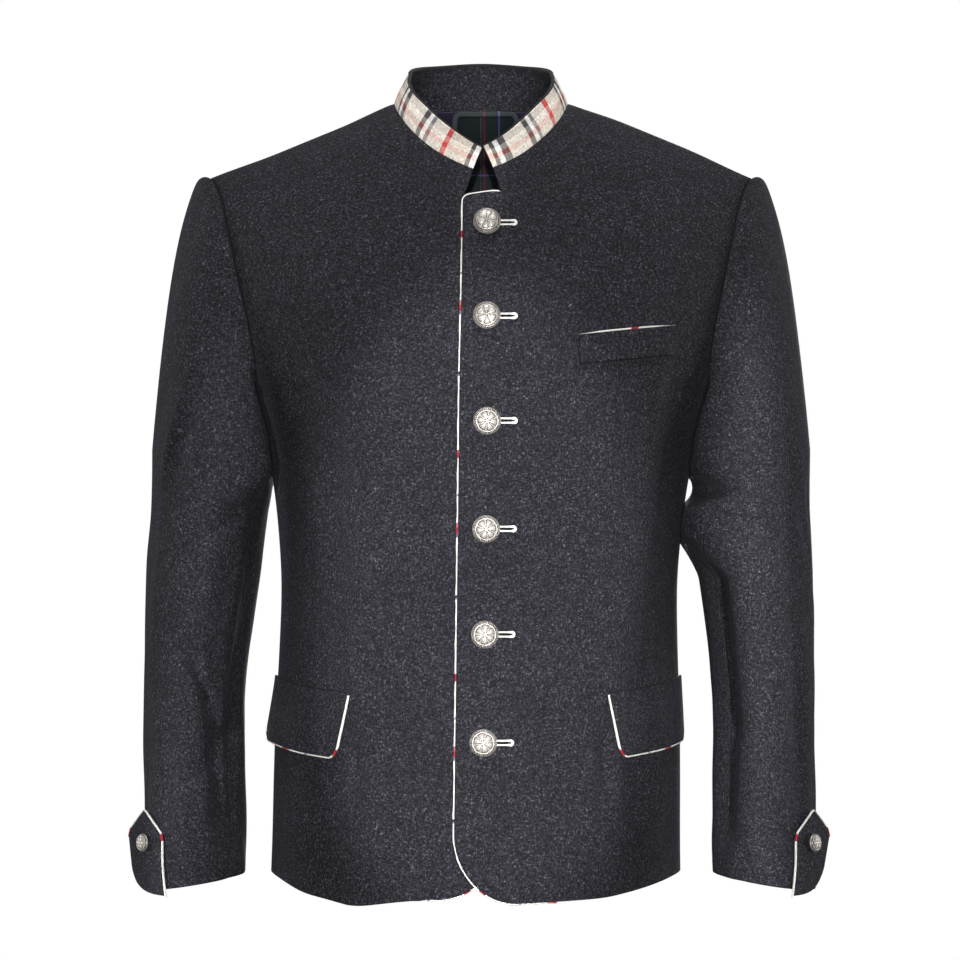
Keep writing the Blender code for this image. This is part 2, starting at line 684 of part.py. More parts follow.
def edge_strip(name, material, wall, path, width, thickness, inset=0.0, trim=0.0):
    """A strip that runs along part of a wall's rim, a gap outside it. Trim shortens its first end."""
    rim = wall.rim()
    outward = [-rim[(a, b) if (a, b) in rim else (b, a)] for a, b in zip(path, path[1:])]
    rails = []
    for i, key in enumerate(path):
        near = [outward[j] for j in (i - 1, i) if 0 <= j < len(outward)]
        step = mitred(near)
        top = wall.points[key] - wall.normals[key] * inset
        if i == 0:
            top += (wall.points[path[1]] - top).normalized() * trim
        low = top - wall.normals[key] * thickness
        crown = top - wall.normals[key] * (STRIP_ROUNDING * thickness)
        keel = low + wall.normals[key] * (STRIP_ROUNDING * thickness)
        rails.append([top + step * GAP, crown + step * (GAP + width),
                      keel + step * (GAP + width), low + step * GAP])
    return tube(name, material, rails)


def tube(name, material, rings):
    """A closed solid through rings of equal count, capped at both ends."""
    count = len(rings[0])
    vertices = [point for ring in rings for point in ring]
    faces = [list(range(count))[::-1], list(range(len(vertices) - count, len(vertices)))]
    for i in range(len(rings) - 1):
        for k in range(count):
            after = (k + 1) % count
            faces.append([i * count + k, i * count + after, (i + 1) * count + after, (i + 1) * count + k])
    return make_object(name, material, vertices, faces)


def turned(name, material, centre, axis, profile):
    """A closed round solid from (radius, height) pairs about an axis."""
    side = axis.orthogonal().normalized()
    other = axis.cross(side)
    turns = [2 * math.pi * k / BUTTON_SEGMENTS for k in range(BUTTON_SEGMENTS)]
    rings = [[centre + axis * height + (side * math.cos(turn) + other * math.sin(turn)) * radius
              for turn in turns] for radius, height in profile]
    return tube(name, material, rings)


def build_sleeve(whole, seams, side_name):
    """The top sleeve between the two seams, and the under sleeve on both sides of the underarm."""
    front_seam, back_seam = seams
    pieces = {"top": [], "under": []}
    for face in whole.faces:
        columns = sorted({column for _, column in face})
        column = columns[0] if columns[1] == columns[0] + 1 else columns[1]
        pieces["top" if front_seam <= column < back_seam else "under"].append(face)
    for piece, faces in pieces.items():
        part = Wall(whole.points, faces)
        part.normals, part.reach = whole.normals, whole.reach
        build_wall(f"sleeve_{piece}_{side_name}", "loden", part, CLOTH)


# ---------------------------------------------------------------- collar
def neck_seam(fronts, backs):
    """Points of the neck seam from the right front's collar end round the back to the left front's."""
    halves = {}
    for side in (-1, 1):
        front = [fronts[side].points[row, LAP_COLUMNS] for row in range(COLLAR_ROW, TOP_ROW + 1)]
        back = [backs[side].points[row, 0] for row in range(TOP_ROW - 1, BACK_NECK_ROW - 1, -1)]
        halves[side] = front + back
    return halves[-1] + halves[1][-2::-1]


def collar_wall(seam):
    """Three rows from the neck seam to the collar's top edge."""
    lengths = [0.0]
    for a, b in zip(seam, seam[1:]):
        lengths.append(lengths[-1] + (b - a).length)
    points = {}
    for i, base in enumerate(seam):
        along = lengths[i] / lengths[-1]
        share = 1 - abs(2 * along - 1)
        to_axis = Vector((-base.x, NECK_AXIS_Y - base.y, 0.0)).normalized()
        step = seam[min(i + 1, len(seam) - 1)] - seam[max(i - 1, 0)]
        to_front = step.normalized() * (-1 if along < 0.5 else 1)
        rise = read(COLLAR, 1, share)
        top = (base + Vector((0.0, 0.0, rise)) + to_axis * read(COLLAR, 2, share)
               + to_front * read(COLLAR, 3, share))
        points[0, i] = base
        points[1, i] = base.lerp(top, 0.5) - to_axis * COLLAR_BULGE
        points[2, i] = top
    cells = [(row, i) for row in range(2) for i in range(len(seam) - 1)]
    return Wall(points, grid_faces(cells, flip=True))


def build_collar(wall):
    last = max(column for _, column in wall.points)
    build_wall("collar_outer", "check", wall, COLLAR_CLOTH)
    build_wall("collar_inner", "loden", wall, COLLAR_CLOTH, sink=COLLAR_CLOTH + GAP)
    edge_strip("collar_binding", "binding", wall, [(2, i) for i in range(last + 1)],
               BINDING_HEIGHT, 2 * COLLAR_CLOTH + GAP)


# ---------------------------------------------------------------- lining
def build_lining(back, side_name):
    """Half of the half lining: the back's own rows above the underarm, just inside the cloth."""
    faces = [face for face in back.faces if min(row for row, _ in face) >= UNDERARM_ROW - 1]
    lining = Wall(back.points, faces)
    lining.normals, lining.reach = back.normals, back.reach
    build_wall(f"lining_back_{side_name}", "lining", lining, LINING_CLOTH, sink=CLOTH + GAP)


def build_hanger_loop():
    """A flat loop over the lining at the neck, sewn down at both ends."""
    level = LEVELS[BACK_NECK_ROW]
    stand = CLOTH + GAP + LINING_CLOTH + 2 * CLEAR
    top_z = body_point(1, 0.0, level).z + LOOP_RISE
    turns = [math.pi / 2 * k / LOOP_BEND_STEPS for k in range(LOOP_BEND_STEPS + 1)]
    corner = [(LOOP_HALF_SPAN - LOOP_BEND * (1 - math.cos(t)), -LOOP_BEND * (1 - math.sin(t))) for t in turns]
    half = [(LOOP_HALF_SPAN, -LOOP_DROP)] + corner
    path = [(-x, z) for x, z in half] + [(x, z) for x, z in reversed(half)]
    rings = []
    for i, (x, z) in enumerate(path):
        before, after = path[max(i - 1, 0)], path[min(i + 1, len(path) - 1)]
        along = Vector((after[0] - before[0], 0.0, after[1] - before[1])).normalized()
        across = Vector((-along.z, 0.0, along.x)) * (LOOP_WIDTH / 2)
        share = abs(x + LOOP_X) / NECK_HALF_WIDTH
        y = depth(1, level) * (1 - share**BACK_NECK_ROUND) ** (1 / BACK_NECK_ROUND)
        place = Vector((x + LOOP_X, y - stand, top_z + z))
        thick = Vector((0.0, -LINING_CLOTH, 0.0))
        rings.append([place - across, place + across, place + across + thick, place - across + thick])
    tube("hanger_loop", "lining", rings)


# ---------------------------------------------------------------- pockets
def rounded_depth(distance, radius):
    """The share lost at a round corner, at a distance from the end."""
    if distance >= radius:
        return 0.0
    return radius - math.sqrt(radius**2 - (radius - distance) ** 2)


def build_flap(side, side_name):
    """A hip pocket flap, sewn at its top, standing off the front towards its lower rear corner."""
    start_level = level_of(-1, FLAP_TOP["front_z"], FLAP_TOP["front_x"])
    start = angle_of(-1, FLAP_TOP["front_x"], start_level)
    slant = FLAP_SLANT / FLAP_TOP["front_x"]
    end = math.radians(FLAP_REAR_ANGLE)
    middle = [k / FLAP_COLUMNS for k in range(1, FLAP_COLUMNS)]
    shares = sorted([0.0, 1.0, *FLAP_CORNER_SHARES, *(1 - each for each in FLAP_CORNER_SHARES), *middle])
    points = {}
    for column, share in enumerate(shares):
        top_z = FLAP_TOP["front_z"] + (FLAP_TOP["rear_z"] - FLAP_TOP["front_z"]) * share
        lost = rounded_depth(min(share, 1 - share) * FLAP_LENGTH, FLAP_CORNER)
        for row in range(FLAP_ROWS + 1):
            down = row / FLAP_ROWS
            z = top_z - (FLAP_HEIGHT - lost) * down
            angle = start + (end - start) * share + slant * (1 - share) * down
            stand = FLAP_LIFT_FRONT + (FLAP_LIFT_REAR[side] - FLAP_LIFT_FRONT) * share**FLAP_LIFT_ALONG
            lift = CLOTH + CLEAR + stand * down**FLAP_LIFT_DOWN
            level = level_at_angle(-1, z, angle)
            points[row, column] = body_point(-1, side * angle, level, 0, lift)
    columns = len(shares) - 1
    cells = [(row, column) for row in range(FLAP_ROWS) for column in range(columns)]
    wall = Wall(points, grid_faces(cells, flip=side > 0))
    share_normals([wall])
    build_wall(f"pocket_flap_{side_name}", "loden", wall, CLOTH)
    path = [(row, 0) for row in range(FLAP_ROWS + 1)]
    path += [(FLAP_ROWS, column) for column in range(1, columns + 1)]
    path += [(row, columns) for row in range(FLAP_ROWS - 1, -1, -1)]
    edge_strip(f"flap_piping_{side_name}", "piping", wall, path, PIPING_WIDTH, CLOTH)


def build_welt():
    """The breast welt pocket on the wearer's left, and the piping along its top."""
    points = {}
    for column in range(WELT_COLUMNS + 1):
        share = column / WELT_COLUMNS
        x = WELT["x0"] + (WELT["x1"] - WELT["x0"]) * share
        top_z = WELT["z0"] + (WELT["z1"] - WELT["z0"]) * share
        for row in range(3):
            points[row, column] = front_point(1, x, top_z - WELT_HEIGHT * row / 2, CLOTH + CLEAR)
    cells = [(row, column) for row in range(2) for column in range(WELT_COLUMNS)]
    wall = Wall(points, grid_faces(cells, flip=True))
    share_normals([wall])
    build_wall("chest_welt", "loden", wall, CLOTH)
    path = [(0, column) for column in range(WELT_COLUMNS + 1)]
    edge_strip("welt_piping", "piping", wall, path, PIPING_WIDTH, CLOTH)


# ---------------------------------------------------------------- buttons and buttonholes
def surface_frame(side, x, z):
    """A point on a front with its normal, and the directions across and up in the surface."""
    centre = front_point(side, x, z)
    across = (front_point(side, x + SAMPLE_STEP, z) - front_point(side, x - SAMPLE_STEP, z)).normalized()
    up = (front_point(side, x, z + SAMPLE_STEP) - front_point(side, x, z - SAMPLE_STEP)).normalized()
    normal = across.cross(up).normalized()
    return centre, normal, across, normal.cross(across)


def button_profile(radius, shank_end):
    """From the foot of the shank to the crown, as (radius, height) pairs; height 0 is the rim's underside."""
    shank = [(SHANK_RADIUS, shank_end), (SHANK_RADIUS, 0.0)]
    return shank + [(radius * r, radius * h) for r, h in BUTTON_PROFILE]


def cut_slit(front, places):
    """Cut one slit for each shank through the front that laps over."""
    vertices, faces = [], []
    for centre, normal, across, up in places:
        first = len(vertices)
        for out in (-SLIT_REACH, SLIT_REACH):
            for sideways, upward in ((-1, -1), (1, -1), (1, 1), (-1, 1)):
                vertices.append(centre + normal * out + across * (sideways * SLIT_WIDTH / 2)
                                + up * (upward * SLIT_HEIGHT / 2))
        quads = ((0, 3, 2, 1), (4, 5, 6, 7), (0, 1, 5, 4), (1, 2, 6, 5), (2, 3, 7, 6), (3, 0, 4, 7))
        faces += [[first + i for i in quad] for quad in quads]
    cutter = make_object("slit_cutter", "loden", vertices, faces)
    cutter.hide_render = True
    cutter.display_type = "WIRE"
    cut = front.modifiers.new("slits", "BOOLEAN")
    cut.operation = "DIFFERENCE"
    cut.object = cutter


def build_lip(name, centre, normal, across, up):
    """The two lips of a bound buttonhole that show beside the button, with the groove between them."""
    rings = []
    for x, size in LIP_ENDS:
        base = centre + across * x + normal * CLEAR
        rings.append([base + up * (u * LIP_HALF_HEIGHT * size) + normal * (h * LIP_THICKNESS * size)
                      for u, h in LIP_SECTION])
    tube(name, "piping", rings)


def build_buttons(front):
    places = [surface_frame(1, BUTTON_X, z) for z in BUTTON_HEIGHTS]
    cut_slit(front, places)
    for number, (centre, normal, across, up) in enumerate(places, start=1):
        rim = centre + normal * (CLEAR + LIP_THICKNESS + GAP)
        foot = -(CLEAR + LIP_THICKNESS + 2 * LAYER - GAP)
        turned(f"button_{number}", "pewter", rim, normal, button_profile(BUTTON_RADIUS, foot))
        build_lip(f"buttonhole_{number}", centre, normal, across, up)


# ---------------------------------------------------------------- cuff tabs
def tab_point(side, across, down):
    """A point of a cuff tab's outer face; across 0 is the front edge and 1 the rear, down 0 the top."""
    front, rear = Vector(TAB_FRONT), Vector(TAB_REAR)
    out = Vector((rear.y - front.y, front.x - rear.x)).normalized()
    peak = TAB_SHOULDER_Z + (TAB_TIP_Z - TAB_SHOULDER_Z) * (1 - abs(2 * across - 1))
    z = peak + (TAB_BOTTOM_Z + TAB_REAR_RISE * across**2 - peak) * down
    tuck = TAB_TUCK * max((down - TAB_TUCK_FROM) / (1 - TAB_TUCK_FROM), 0.0) ** 2 * across**2
    plan = front.lerp(rear, across) + out * (TAB_BOW * math.sin(math.pi * across) - tuck)
    return Vector((side * (plan.x + SLEEVE_SPREAD[side]), plan.y + TAB_LEAN * (z - TAB_BOTTOM_Z), z))


def build_tab(side, side_name):
    """A pointed tab that stands off the outer side of the cuff, with its piping and button."""
    points = {(row, column): tab_point(side, column / TAB_COLUMNS, down)
              for row, down in enumerate(TAB_ROWS) for column in range(TAB_COLUMNS + 1)}
    last = len(TAB_ROWS) - 1
    cells = [(row, column) for row in range(last) for column in range(TAB_COLUMNS)]
    wall = Wall(points, grid_faces(cells, flip=side > 0))
    share_normals([wall])
    build_wall(f"cuff_tab_{side_name}", "loden", wall, CLOTH)
    path = [(row, 0) for row in range(last, -1, -1)]
    path += [(0, column) for column in range(1, TAB_COLUMNS + 1)]
    edge_strip(f"tab_piping_{side_name}", "piping", wall, path, PIPING_WIDTH, CLOTH)
    down = (TAB_BUTTON_Z - TAB_TIP_Z) / (TAB_BOTTOM_Z - TAB_TIP_Z)
    across = tab_point(side, 1.0, down) - tab_point(side, 0.0, down)
    up = tab_point(side, 0.5, 0.0) - tab_point(side, 0.5, TAB_TUCK_FROM)
    normal = across.cross(up).normalized() * side
    rim = tab_point(side, 0.5, down) + normal * 3 * GAP
    turned(f"cuff_button_{side_name}", "pewter", rim, normal,
           button_profile(CUFF_BUTTON_RADIUS, -2 * GAP))


# ---------------------------------------------------------------- the whole jacket
def front_edge_path():
    """Rim places from the notch along the top of the lap, down the edge and along the start of the hem."""
    path = [(NOTCH_ROW, column) for column in range(LAP_COLUMNS, -1, -1)]
    path += [(row, 0) for row in range(NOTCH_ROW - 1, -1, -1)]
    return path + [(0, column) for column in range(1, HEM_PIPING_COLUMNS + 1)]


def build_jacket():
    sides = {1: "left", -1: "right"}
    fronts, backs, sleeves, splits = {}, {}, {}, {}
    for side in sides:
        points, cells = front_grid(side)
        fronts[side] = Wall(points, grid_faces(cells, flip=side < 0))
        points, cells = back_grid(side)
        backs[side] = Wall(points, grid_faces(cells, flip=side > 0))
        loop = armhole_loop(fronts[side].points, backs[side].points)
        points = sleeve_grid(side, loop)
        count = len(loop)
        cells = [(row, k) for row in range(CAP_ROWS + len(SLEEVE_ROWS) - 1) for k in range(count)]
        sleeves[side] = Wall(points, grid_faces(cells, flip=side > 0, wrap=count))
        splits[side] = sleeve_split(loop)
    collar = collar_wall(neck_seam(fronts, backs))
    share_normals([*fronts.values(), *backs.values(), *sleeves.values(), collar])

    build_collar(collar)
    built = {}
    for side, name in sides.items():
        built[side] = build_wall(f"front_{name}", "loden", fronts[side], CLOTH)
        build_wall(f"back_{name}", "loden", backs[side], CLOTH)
        edge_strip(f"front_piping_{name}", "piping", fronts[side], front_edge_path(),
                   PIPING_WIDTH, CLOTH - 2 * EDGE_PIPING_INSET, EDGE_PIPING_INSET, trim=PIPING_WIDTH)
        build_sleeve(sleeves[side], splits[side], name)
        build_lining(backs[side], name)
        build_flap(side, name)
        build_tab(side, name)
    build_hanger_loop()
    build_welt()
    build_buttons(built[1])


def clear_scene():
    for thing in list(bpy.data.objects):
        bpy.data.objects.remove(thing, do_unlink=True)


def make_materials():
    for name, (colour, roughness, metallic) in MATERIALS.items():
        material = bpy.data.materials.new(name)
        material.use_nodes = True
        shader = material.node_tree.nodes["Principled BSDF"]
        shader.inputs["Base Color"].default_value = colour
        shader.inputs["Roughness"].default_value = roughness
        shader.inputs["Metallic"].default_value = metallic
        material.diffuse_color = colour


clear_scene()
make_materials()
build_jacket()
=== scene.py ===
"""Tyrolean loden jacket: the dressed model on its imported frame.

Metres, +Z up. The wearer faces -Y and their left side is at +X. Each cloth piece is a closed
shell on the form of its solid, with finer folds, rounded edges and a material of its own.
Tables that differ from side to side or from face to face start with -1 for right or front and
1 for left or back.
"""

import math

import bpy
import numpy as np
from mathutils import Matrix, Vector


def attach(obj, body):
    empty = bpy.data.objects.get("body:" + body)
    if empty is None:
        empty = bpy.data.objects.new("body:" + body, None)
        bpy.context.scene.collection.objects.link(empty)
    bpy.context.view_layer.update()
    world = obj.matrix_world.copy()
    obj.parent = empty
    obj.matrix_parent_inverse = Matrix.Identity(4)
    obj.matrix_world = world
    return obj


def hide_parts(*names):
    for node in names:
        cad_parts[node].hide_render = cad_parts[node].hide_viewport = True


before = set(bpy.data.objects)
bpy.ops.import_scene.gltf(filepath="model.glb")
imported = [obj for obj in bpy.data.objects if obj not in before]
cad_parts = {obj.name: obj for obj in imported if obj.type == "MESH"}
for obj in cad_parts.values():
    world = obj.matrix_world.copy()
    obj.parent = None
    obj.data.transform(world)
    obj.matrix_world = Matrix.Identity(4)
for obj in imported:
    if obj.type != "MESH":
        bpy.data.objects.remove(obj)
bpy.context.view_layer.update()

# ---- cloth and seams, as in the solids
CLOTH = 0.0022
COLLAR_CLOTH = 0.0011
LINING_CLOTH = 0.0010
GAP = 0.0003
SEAM = 0.00002  # left between two pieces that are sewn edge to edge
CLEAR = 0.0007
MITRE_MOST = 1.5
SHARPEST_CORNER = 0.35
TINY = 1e-12  # keeps a length above zero where it divides
SAME_PLACE = 1e-5  # points this near each other share one normal
HALVINGS = 40
LEAST_DEPTH = 1e-3
SMOOTH, BRAID_SMOOTH = 40.0, 60.0  # degrees between faces above which an edge stays sharp
SIDES = {1: "left", -1: "right"}
EDGE_ROUND = 0.0008  # how far an edge rounds off
EDGE_SHARE, ROUND_SHARE = 0.45, 0.3  # an edge's round in the cloth's thickness, and its middle
NO_SEAM = 0.03  # a distance to the next seam that leaves no painted seam shade or groove
STEP = 0.0037  # spacing of the cloth's points

NECK_ROWS = 26  # from the back neck up to the shoulder seam

# ---- the body
SIDE_HEM_Z = -0.664
UNDERARM_Z = -0.255
TALL = UNDERARM_Z - SIDE_HEM_Z
SHOULDER_PEAK_Z = 0.0350
SHOULDER_FALL = 0.418
SHOULDER_EASE = 0.030
SHOULDER_SKEW = 0.0024  # the wearer's left shoulder stands a little higher
SKEW_FROM, SKEW_TO = (0.075, 0.05), (0.235, 0.06)  # distance from the middle, run
NECK_HALF_WIDTH = 0.0755
ROUNDNESS = 2.35
RISE = {-1: 1.8, 1: 2.4}
HEM_DIP = {-1: 0.0150, 1: 0.0080}
HEM_WAVES = (
    # x, half_width, drop of the fronts' hem
    (-0.148, 0.020, 0.0040),
    (-0.108, 0.034, 0.0080),
    (-0.030, 0.030, -0.0030),
    (0.110, 0.045, 0.0018),
)
HEM_WAVE_FADE = 5
LEAN_X = -0.0045
LEAN_FROM_Z = -0.30
BODY = (
    # z, half_width, front_depth, back_depth
    (-0.690, 0.1785, 0.1385, 0.1290),
    (-0.640, 0.1772, 0.1370, 0.1280),
    (-0.580, 0.1765, 0.1340, 0.1255),
    (-0.530, 0.1755, 0.1310, 0.1215),
    (-0.470, 0.1730, 0.1285, 0.1150),
    (-0.420, 0.1720, 0.1280, 0.1125),
    (-0.380, 0.1742, 0.1295, 0.1140),
    (-0.335, 0.1793, 0.1330, 0.1190),
    (-0.295, 0.1870, 0.1360, 0.1250),
    (-0.255, 0.2000, 0.1380, 0.1300),
)
ARMHOLE = (
    # angle_deg, x, front_reach, back_reach
    (0.0, 0.2000, 0.000, 0.000),
    (5.0, 0.1972, 0.360, 0.370),
    (9.0, 0.1965, 0.440, 0.455),
    (18.0, 0.2000, 0.490, 0.520),
    (32.2, 0.2080, 0.520, 0.560),
    (46.0, 0.2158, 0.530, 0.570),
    (61.0, 0.2232, 0.530, 0.570),
    (75.0, 0.2305, 0.510, 0.540),
    (90.0, 0.2370, 0.490, 0.490),
)
LOW_ANGLE, NOTCH_ANGLE, COLLAR_END_ANGLE, BACK_NECK_ANGLE = 32.0, 39.4, 45.9, 66.4
EDGE_X, EDGE_TOP_X = 0.0185, 0.0155
EDGE_SPREAD_Z, EDGE_TOP_Z = -0.30, -0.0875
CORNER_RADIUS = 0.0535
TOP_CORNER_RADIUS = 0.0050
LAP_STRIP = 0.0330
NOTCH_X = 0.0170
LAYER = 0.00125
LAYER_HOLD, LAYER_RUN = 0.023, 0.040
NECK_DROP, NECK_ROUND, BACK_NECK_ROUND = 0.067, 1.45, 2.2
# The upper front's top edge rises across the lap: the rise at its free edge and past the run.
LAP_TOP_RISE, LAP_RISE_RUN, LAP_RISE_HALF, LAP_RISE_END = (0.0012, 0.0045), 0.0325, 0.020, 0.060
# The lower front's neck end lies a little further over: how far, and where.
NECK_END_SHIFT, NECK_END_X, NECK_END_Z, NECK_END_HALF = 0.0035, -0.055, -0.065, 0.030
SHIFT_FADE = 0.040
NECK_LINE = 0.0230  # from the neck seam to the facing's edge, which shows as a faint line of painted shade
BODY_FOLDS = (
    # face, x_top, z_top, x_low, z_low, half_width, depth, low_share
    (-1, -0.098, -0.255, -0.098, -0.600, 0.014, -0.0022, 0.60),
    (-1, 0.118, -0.300, 0.104, -0.600, 0.014, -0.0020, 0.60),
    (-1, -0.098, -0.590, -0.094, -0.690, 0.014, -0.0040, 1.00),
    (-1, 0.102, -0.600, 0.108, -0.690, 0.016, -0.0025, 1.00),
    (-1, -0.060, -0.400, -0.074, -0.560, 0.016, -0.0018, 0.35),
    (-1, 0.066, -0.380, 0.074, -0.560, 0.016, -0.0018, 0.35),
    (1, -0.118, -0.240, -0.100, -0.440, 0.020, 0.0045, 0.35),
    (1, 0.118, -0.240, 0.100, -0.440, 0.020, 0.0045, 0.35),
    (1, -0.062, -0.560, -0.070, -0.690, 0.018, -0.0030, 1.00),
    (1, 0.066, -0.560, 0.074, -0.690, 0.018, -0.0030, 1.00),
)
# Where each front turns back towards its side, and how far it falls there.
SIDE_TURNS = {
    -1: (
        # z, x, depth
        (-0.690, 0.106, 0.0027),
        (-0.600, 0.106, 0.0030),
        (-0.520, 0.105, 0.0046),
        (-0.450, 0.105, 0.0066),
        (-0.360, 0.107, 0.0070),
        (-0.260, 0.112, 0.0062),
        (-0.200, 0.126, 0.0040),
        (-0.150, 0.145, 0.0000),
    ),
    1: (
        (-0.690, 0.134, 0.0022),
        (-0.600, 0.126, 0.0025),
        (-0.540, 0.120, 0.0036),
        (-0.450, 0.128, 0.0050),
        (-0.330, 0.142, 0.0052),
        (-0.240, 0.152, 0.0036),
        (-0.160, 0.162, 0.0000),
    ),
}
TURN_WIDTH = 0.030
# Finer creases that the solids leave out.
BODY_CREASES = (
    # face, x_top, z_top, x_low, z_low, half_width, depth, low_share
    (-1, -0.150, -0.165, -0.118, -0.262, 0.007, 0.0016, 0.20),
    (-1, -0.1035, -0.535, -0.1010, -0.588, 0.0066, 0.0072, 0.80),
    (-1, 0.1095, -0.532, 0.1055, -0.590, 0.0068, 0.0078, 0.80),
    (-1, -0.168, -0.200, -0.150, -0.300, 0.006, 0.0021, 0.20),
    (-1, 0.172, -0.195, 0.158, -0.290, 0.006, 0.0019, 0.20),
    (-1, 0.146, -0.150, 0.122, -0.190, 0.008, 0.0012, 0.20),
    (-1, -0.138, -0.180, -0.134, -0.300, 0.012, -0.0018, 0.30),
    (-1, -0.050, -0.652, -0.038, -0.684, 0.005, 0.0024, 0.60),
    (-1, -0.122, -0.520, -0.116, -0.610, 0.010, 0.0018, 0.20),
    (-1, 0.128, -0.560, 0.130, -0.660, 0.012, 0.0018, 0.50),
    (-1, 0.070, -0.228, 0.062, -0.290, 0.006, 0.0008, 0.30),
    (-1, 0.062, -0.290, 0.062, -0.390, 0.005, 0.0008, 0.30),
    (-1, 0.150, -0.330, 0.138, -0.420, 0.009, -0.0018, 0.20),
    (-1, -0.146, -0.340, -0.130, -0.450, 0.009, -0.0018, 0.20),
    (1, -0.150, -0.170, -0.126, -0.290, 0.008, 0.0033, 0.20),
    (1, 0.154, -0.160, 0.120, -0.280, 0.008, 0.0037, 0.20),
    (1, -0.030, -0.095, -0.105, -0.118, 0.007, 0.0022, 0.20),
    (1, 0.036, -0.100, 0.120, -0.126, 0.008, 0.0022, 0.20),
    (1, -0.142, -0.350, -0.060, -0.372, 0.008, 0.0026, 0.20),
    (1, 0.140, -0.342, 0.070, -0.366, 0.008, 0.0029, 0.20),
    (1, -0.128, -0.392, -0.050, -0.402, 0.007, 0.0022, 0.20),
    (1, 0.126, -0.400, 0.060, -0.408, 0.007, 0.0020, 0.20),
    (1, -0.020, -0.500, -0.028, -0.660, 0.014, -0.0031, 0.80),
    (1, 0.112, -0.520, 0.120, -0.670, 0.012, 0.0029, 0.60),
    (1, -0.108, -0.500, -0.116, -0.670, 0.012, 0.0026, 0.60),
)
FOLD_TOP_SHARE = 0.35
FOLD_END_REACH = 2.5
FADE_AT_SIDE, FADE_AT_SHOULDER = 0.35, 0.3
# Slight waviness of the whole cloth, so that no stretch of it is a perfect surface.
WAVES = (
    # cycles_per_metre_across, cycles_per_metre_up, turn, height
    (7.3, 3.1, 0.4, 0.00045),
    (-4.9, 6.7, 2.1, 0.00040),
    (11.7, -5.3, 4.0, 0.00022),
    (3.3, 12.9, 5.1, 0.00020),
    (17.9, 9.1, 1.3, 0.00010),
)

# ---- sleeves
SLEEVE = (
    # z, x_inner, x_outer, y_middle, half_depth
    (-0.669, 0.1985, 0.2865, -0.045, 0.0465),
    (-0.640, 0.1978, 0.2865, -0.041, 0.0475),
    (-0.590, 0.1985, 0.2868, -0.034, 0.0500),
    (-0.540, 0.1992, 0.2876, -0.026, 0.0535),
    (-0.490, 0.1980, 0.2882, -0.018, 0.0575),
    (-0.440, 0.1925, 0.2882, -0.010, 0.0615),
    (-0.390, 0.1860, 0.2868, -0.004, 0.0650),
    (-0.345, 0.1820, 0.2855, -0.001, 0.0680),
    (-0.300, 0.1880, 0.2860, 0.000, 0.0705),
)
CUFF_Z, RING_Z = SLEEVE[0][0], SLEEVE[-1][0]
CUFF_TILT, TILT_FROM_Z, CUFF_FADE = 0.0068, -0.50, 0.05
CAP_ROWS = 26
CAP_CROWDING = 1.25
CAP_OUT, CAP_UP, CAP_UP_IN = (0.0165, 0.0085), (0.43, 0.11), (0.015, 0.075)
CAP_TO_FRONT = 0.35
CAP_DROP, CAP_DROP_UNDER = 0.15, 0.75
CREASE_FROM_SEAM = 0.03
HEAD_PUFF, HEAD_ROLL, HEAD_REACH, HEAD_OUT = 0.0016, 0.0018, 0.0070, 0.55
CREASE_OVER, HEAD_OVER = (-0.5, 0.3), (-0.60, 0.50)  # cosine of the angle, run
WAVE_TURN = 0.25  # the waviness round a sleeve, in metres across
BELOW_RING = 0.001
SLEEVE_SPREAD = {-1: 0.0032, 1: 0.0}
SPREAD_FROM_Z, SPREAD_TO_Z = -0.28, -0.40
HUG_TOP_Z, HUG_LOW_Z, HUG_CLEAR = -0.262, {-1: -0.357, 1: -0.414}, 0.0008
HUG_IN, HUG_OUT, HUG_ROUND = 0.03, 0.045, 0.9  # runs down, up and round the sleeve
# Between body and sleeve a small gap stays open above where they touch.
GAP_Z, GAP_HALF, GAP_OPEN = -0.3350, 0.0100, {-1: 0.0, 1: 0.0008}
FRONT_SEAM_SHARE, BACK_SEAM_SHARE = 0.15, 0.34
SLEEVE_RADIUS = 0.055
SLEEVE_SEAM_FAINT = 0.00075  # keeps the painted shade and groove of a sleeve's long seams fainter than its armhole's
SLEEVE_FOLDS = (
    # side, angle_deg, z, half_turn_deg, half_height, rise_per_90deg, depth
    (-1, 115.0, -0.360, 40.0, 0.014, 0.060, 0.0030),
    (-1, 95.0, -0.470, 45.0, 0.013, -0.040, 0.0028),
    (-1, 120.0, -0.560, 45.0, 0.014, 0.050, 0.0025),
    (-1, -80.0, -0.440, 50.0, 0.015, 0.030, 0.0025),
    (1, 115.0, -0.350, 40.0, 0.014, 0.060, 0.0030),
    (1, 60.0, -0.450, 40.0, 0.013, -0.050, 0.0026),
    (1, 125.0, -0.540, 45.0, 0.014, 0.040, 0.0025),
    (1, -80.0, -0.450, 50.0, 0.015, 0.030, 0.0025),
)
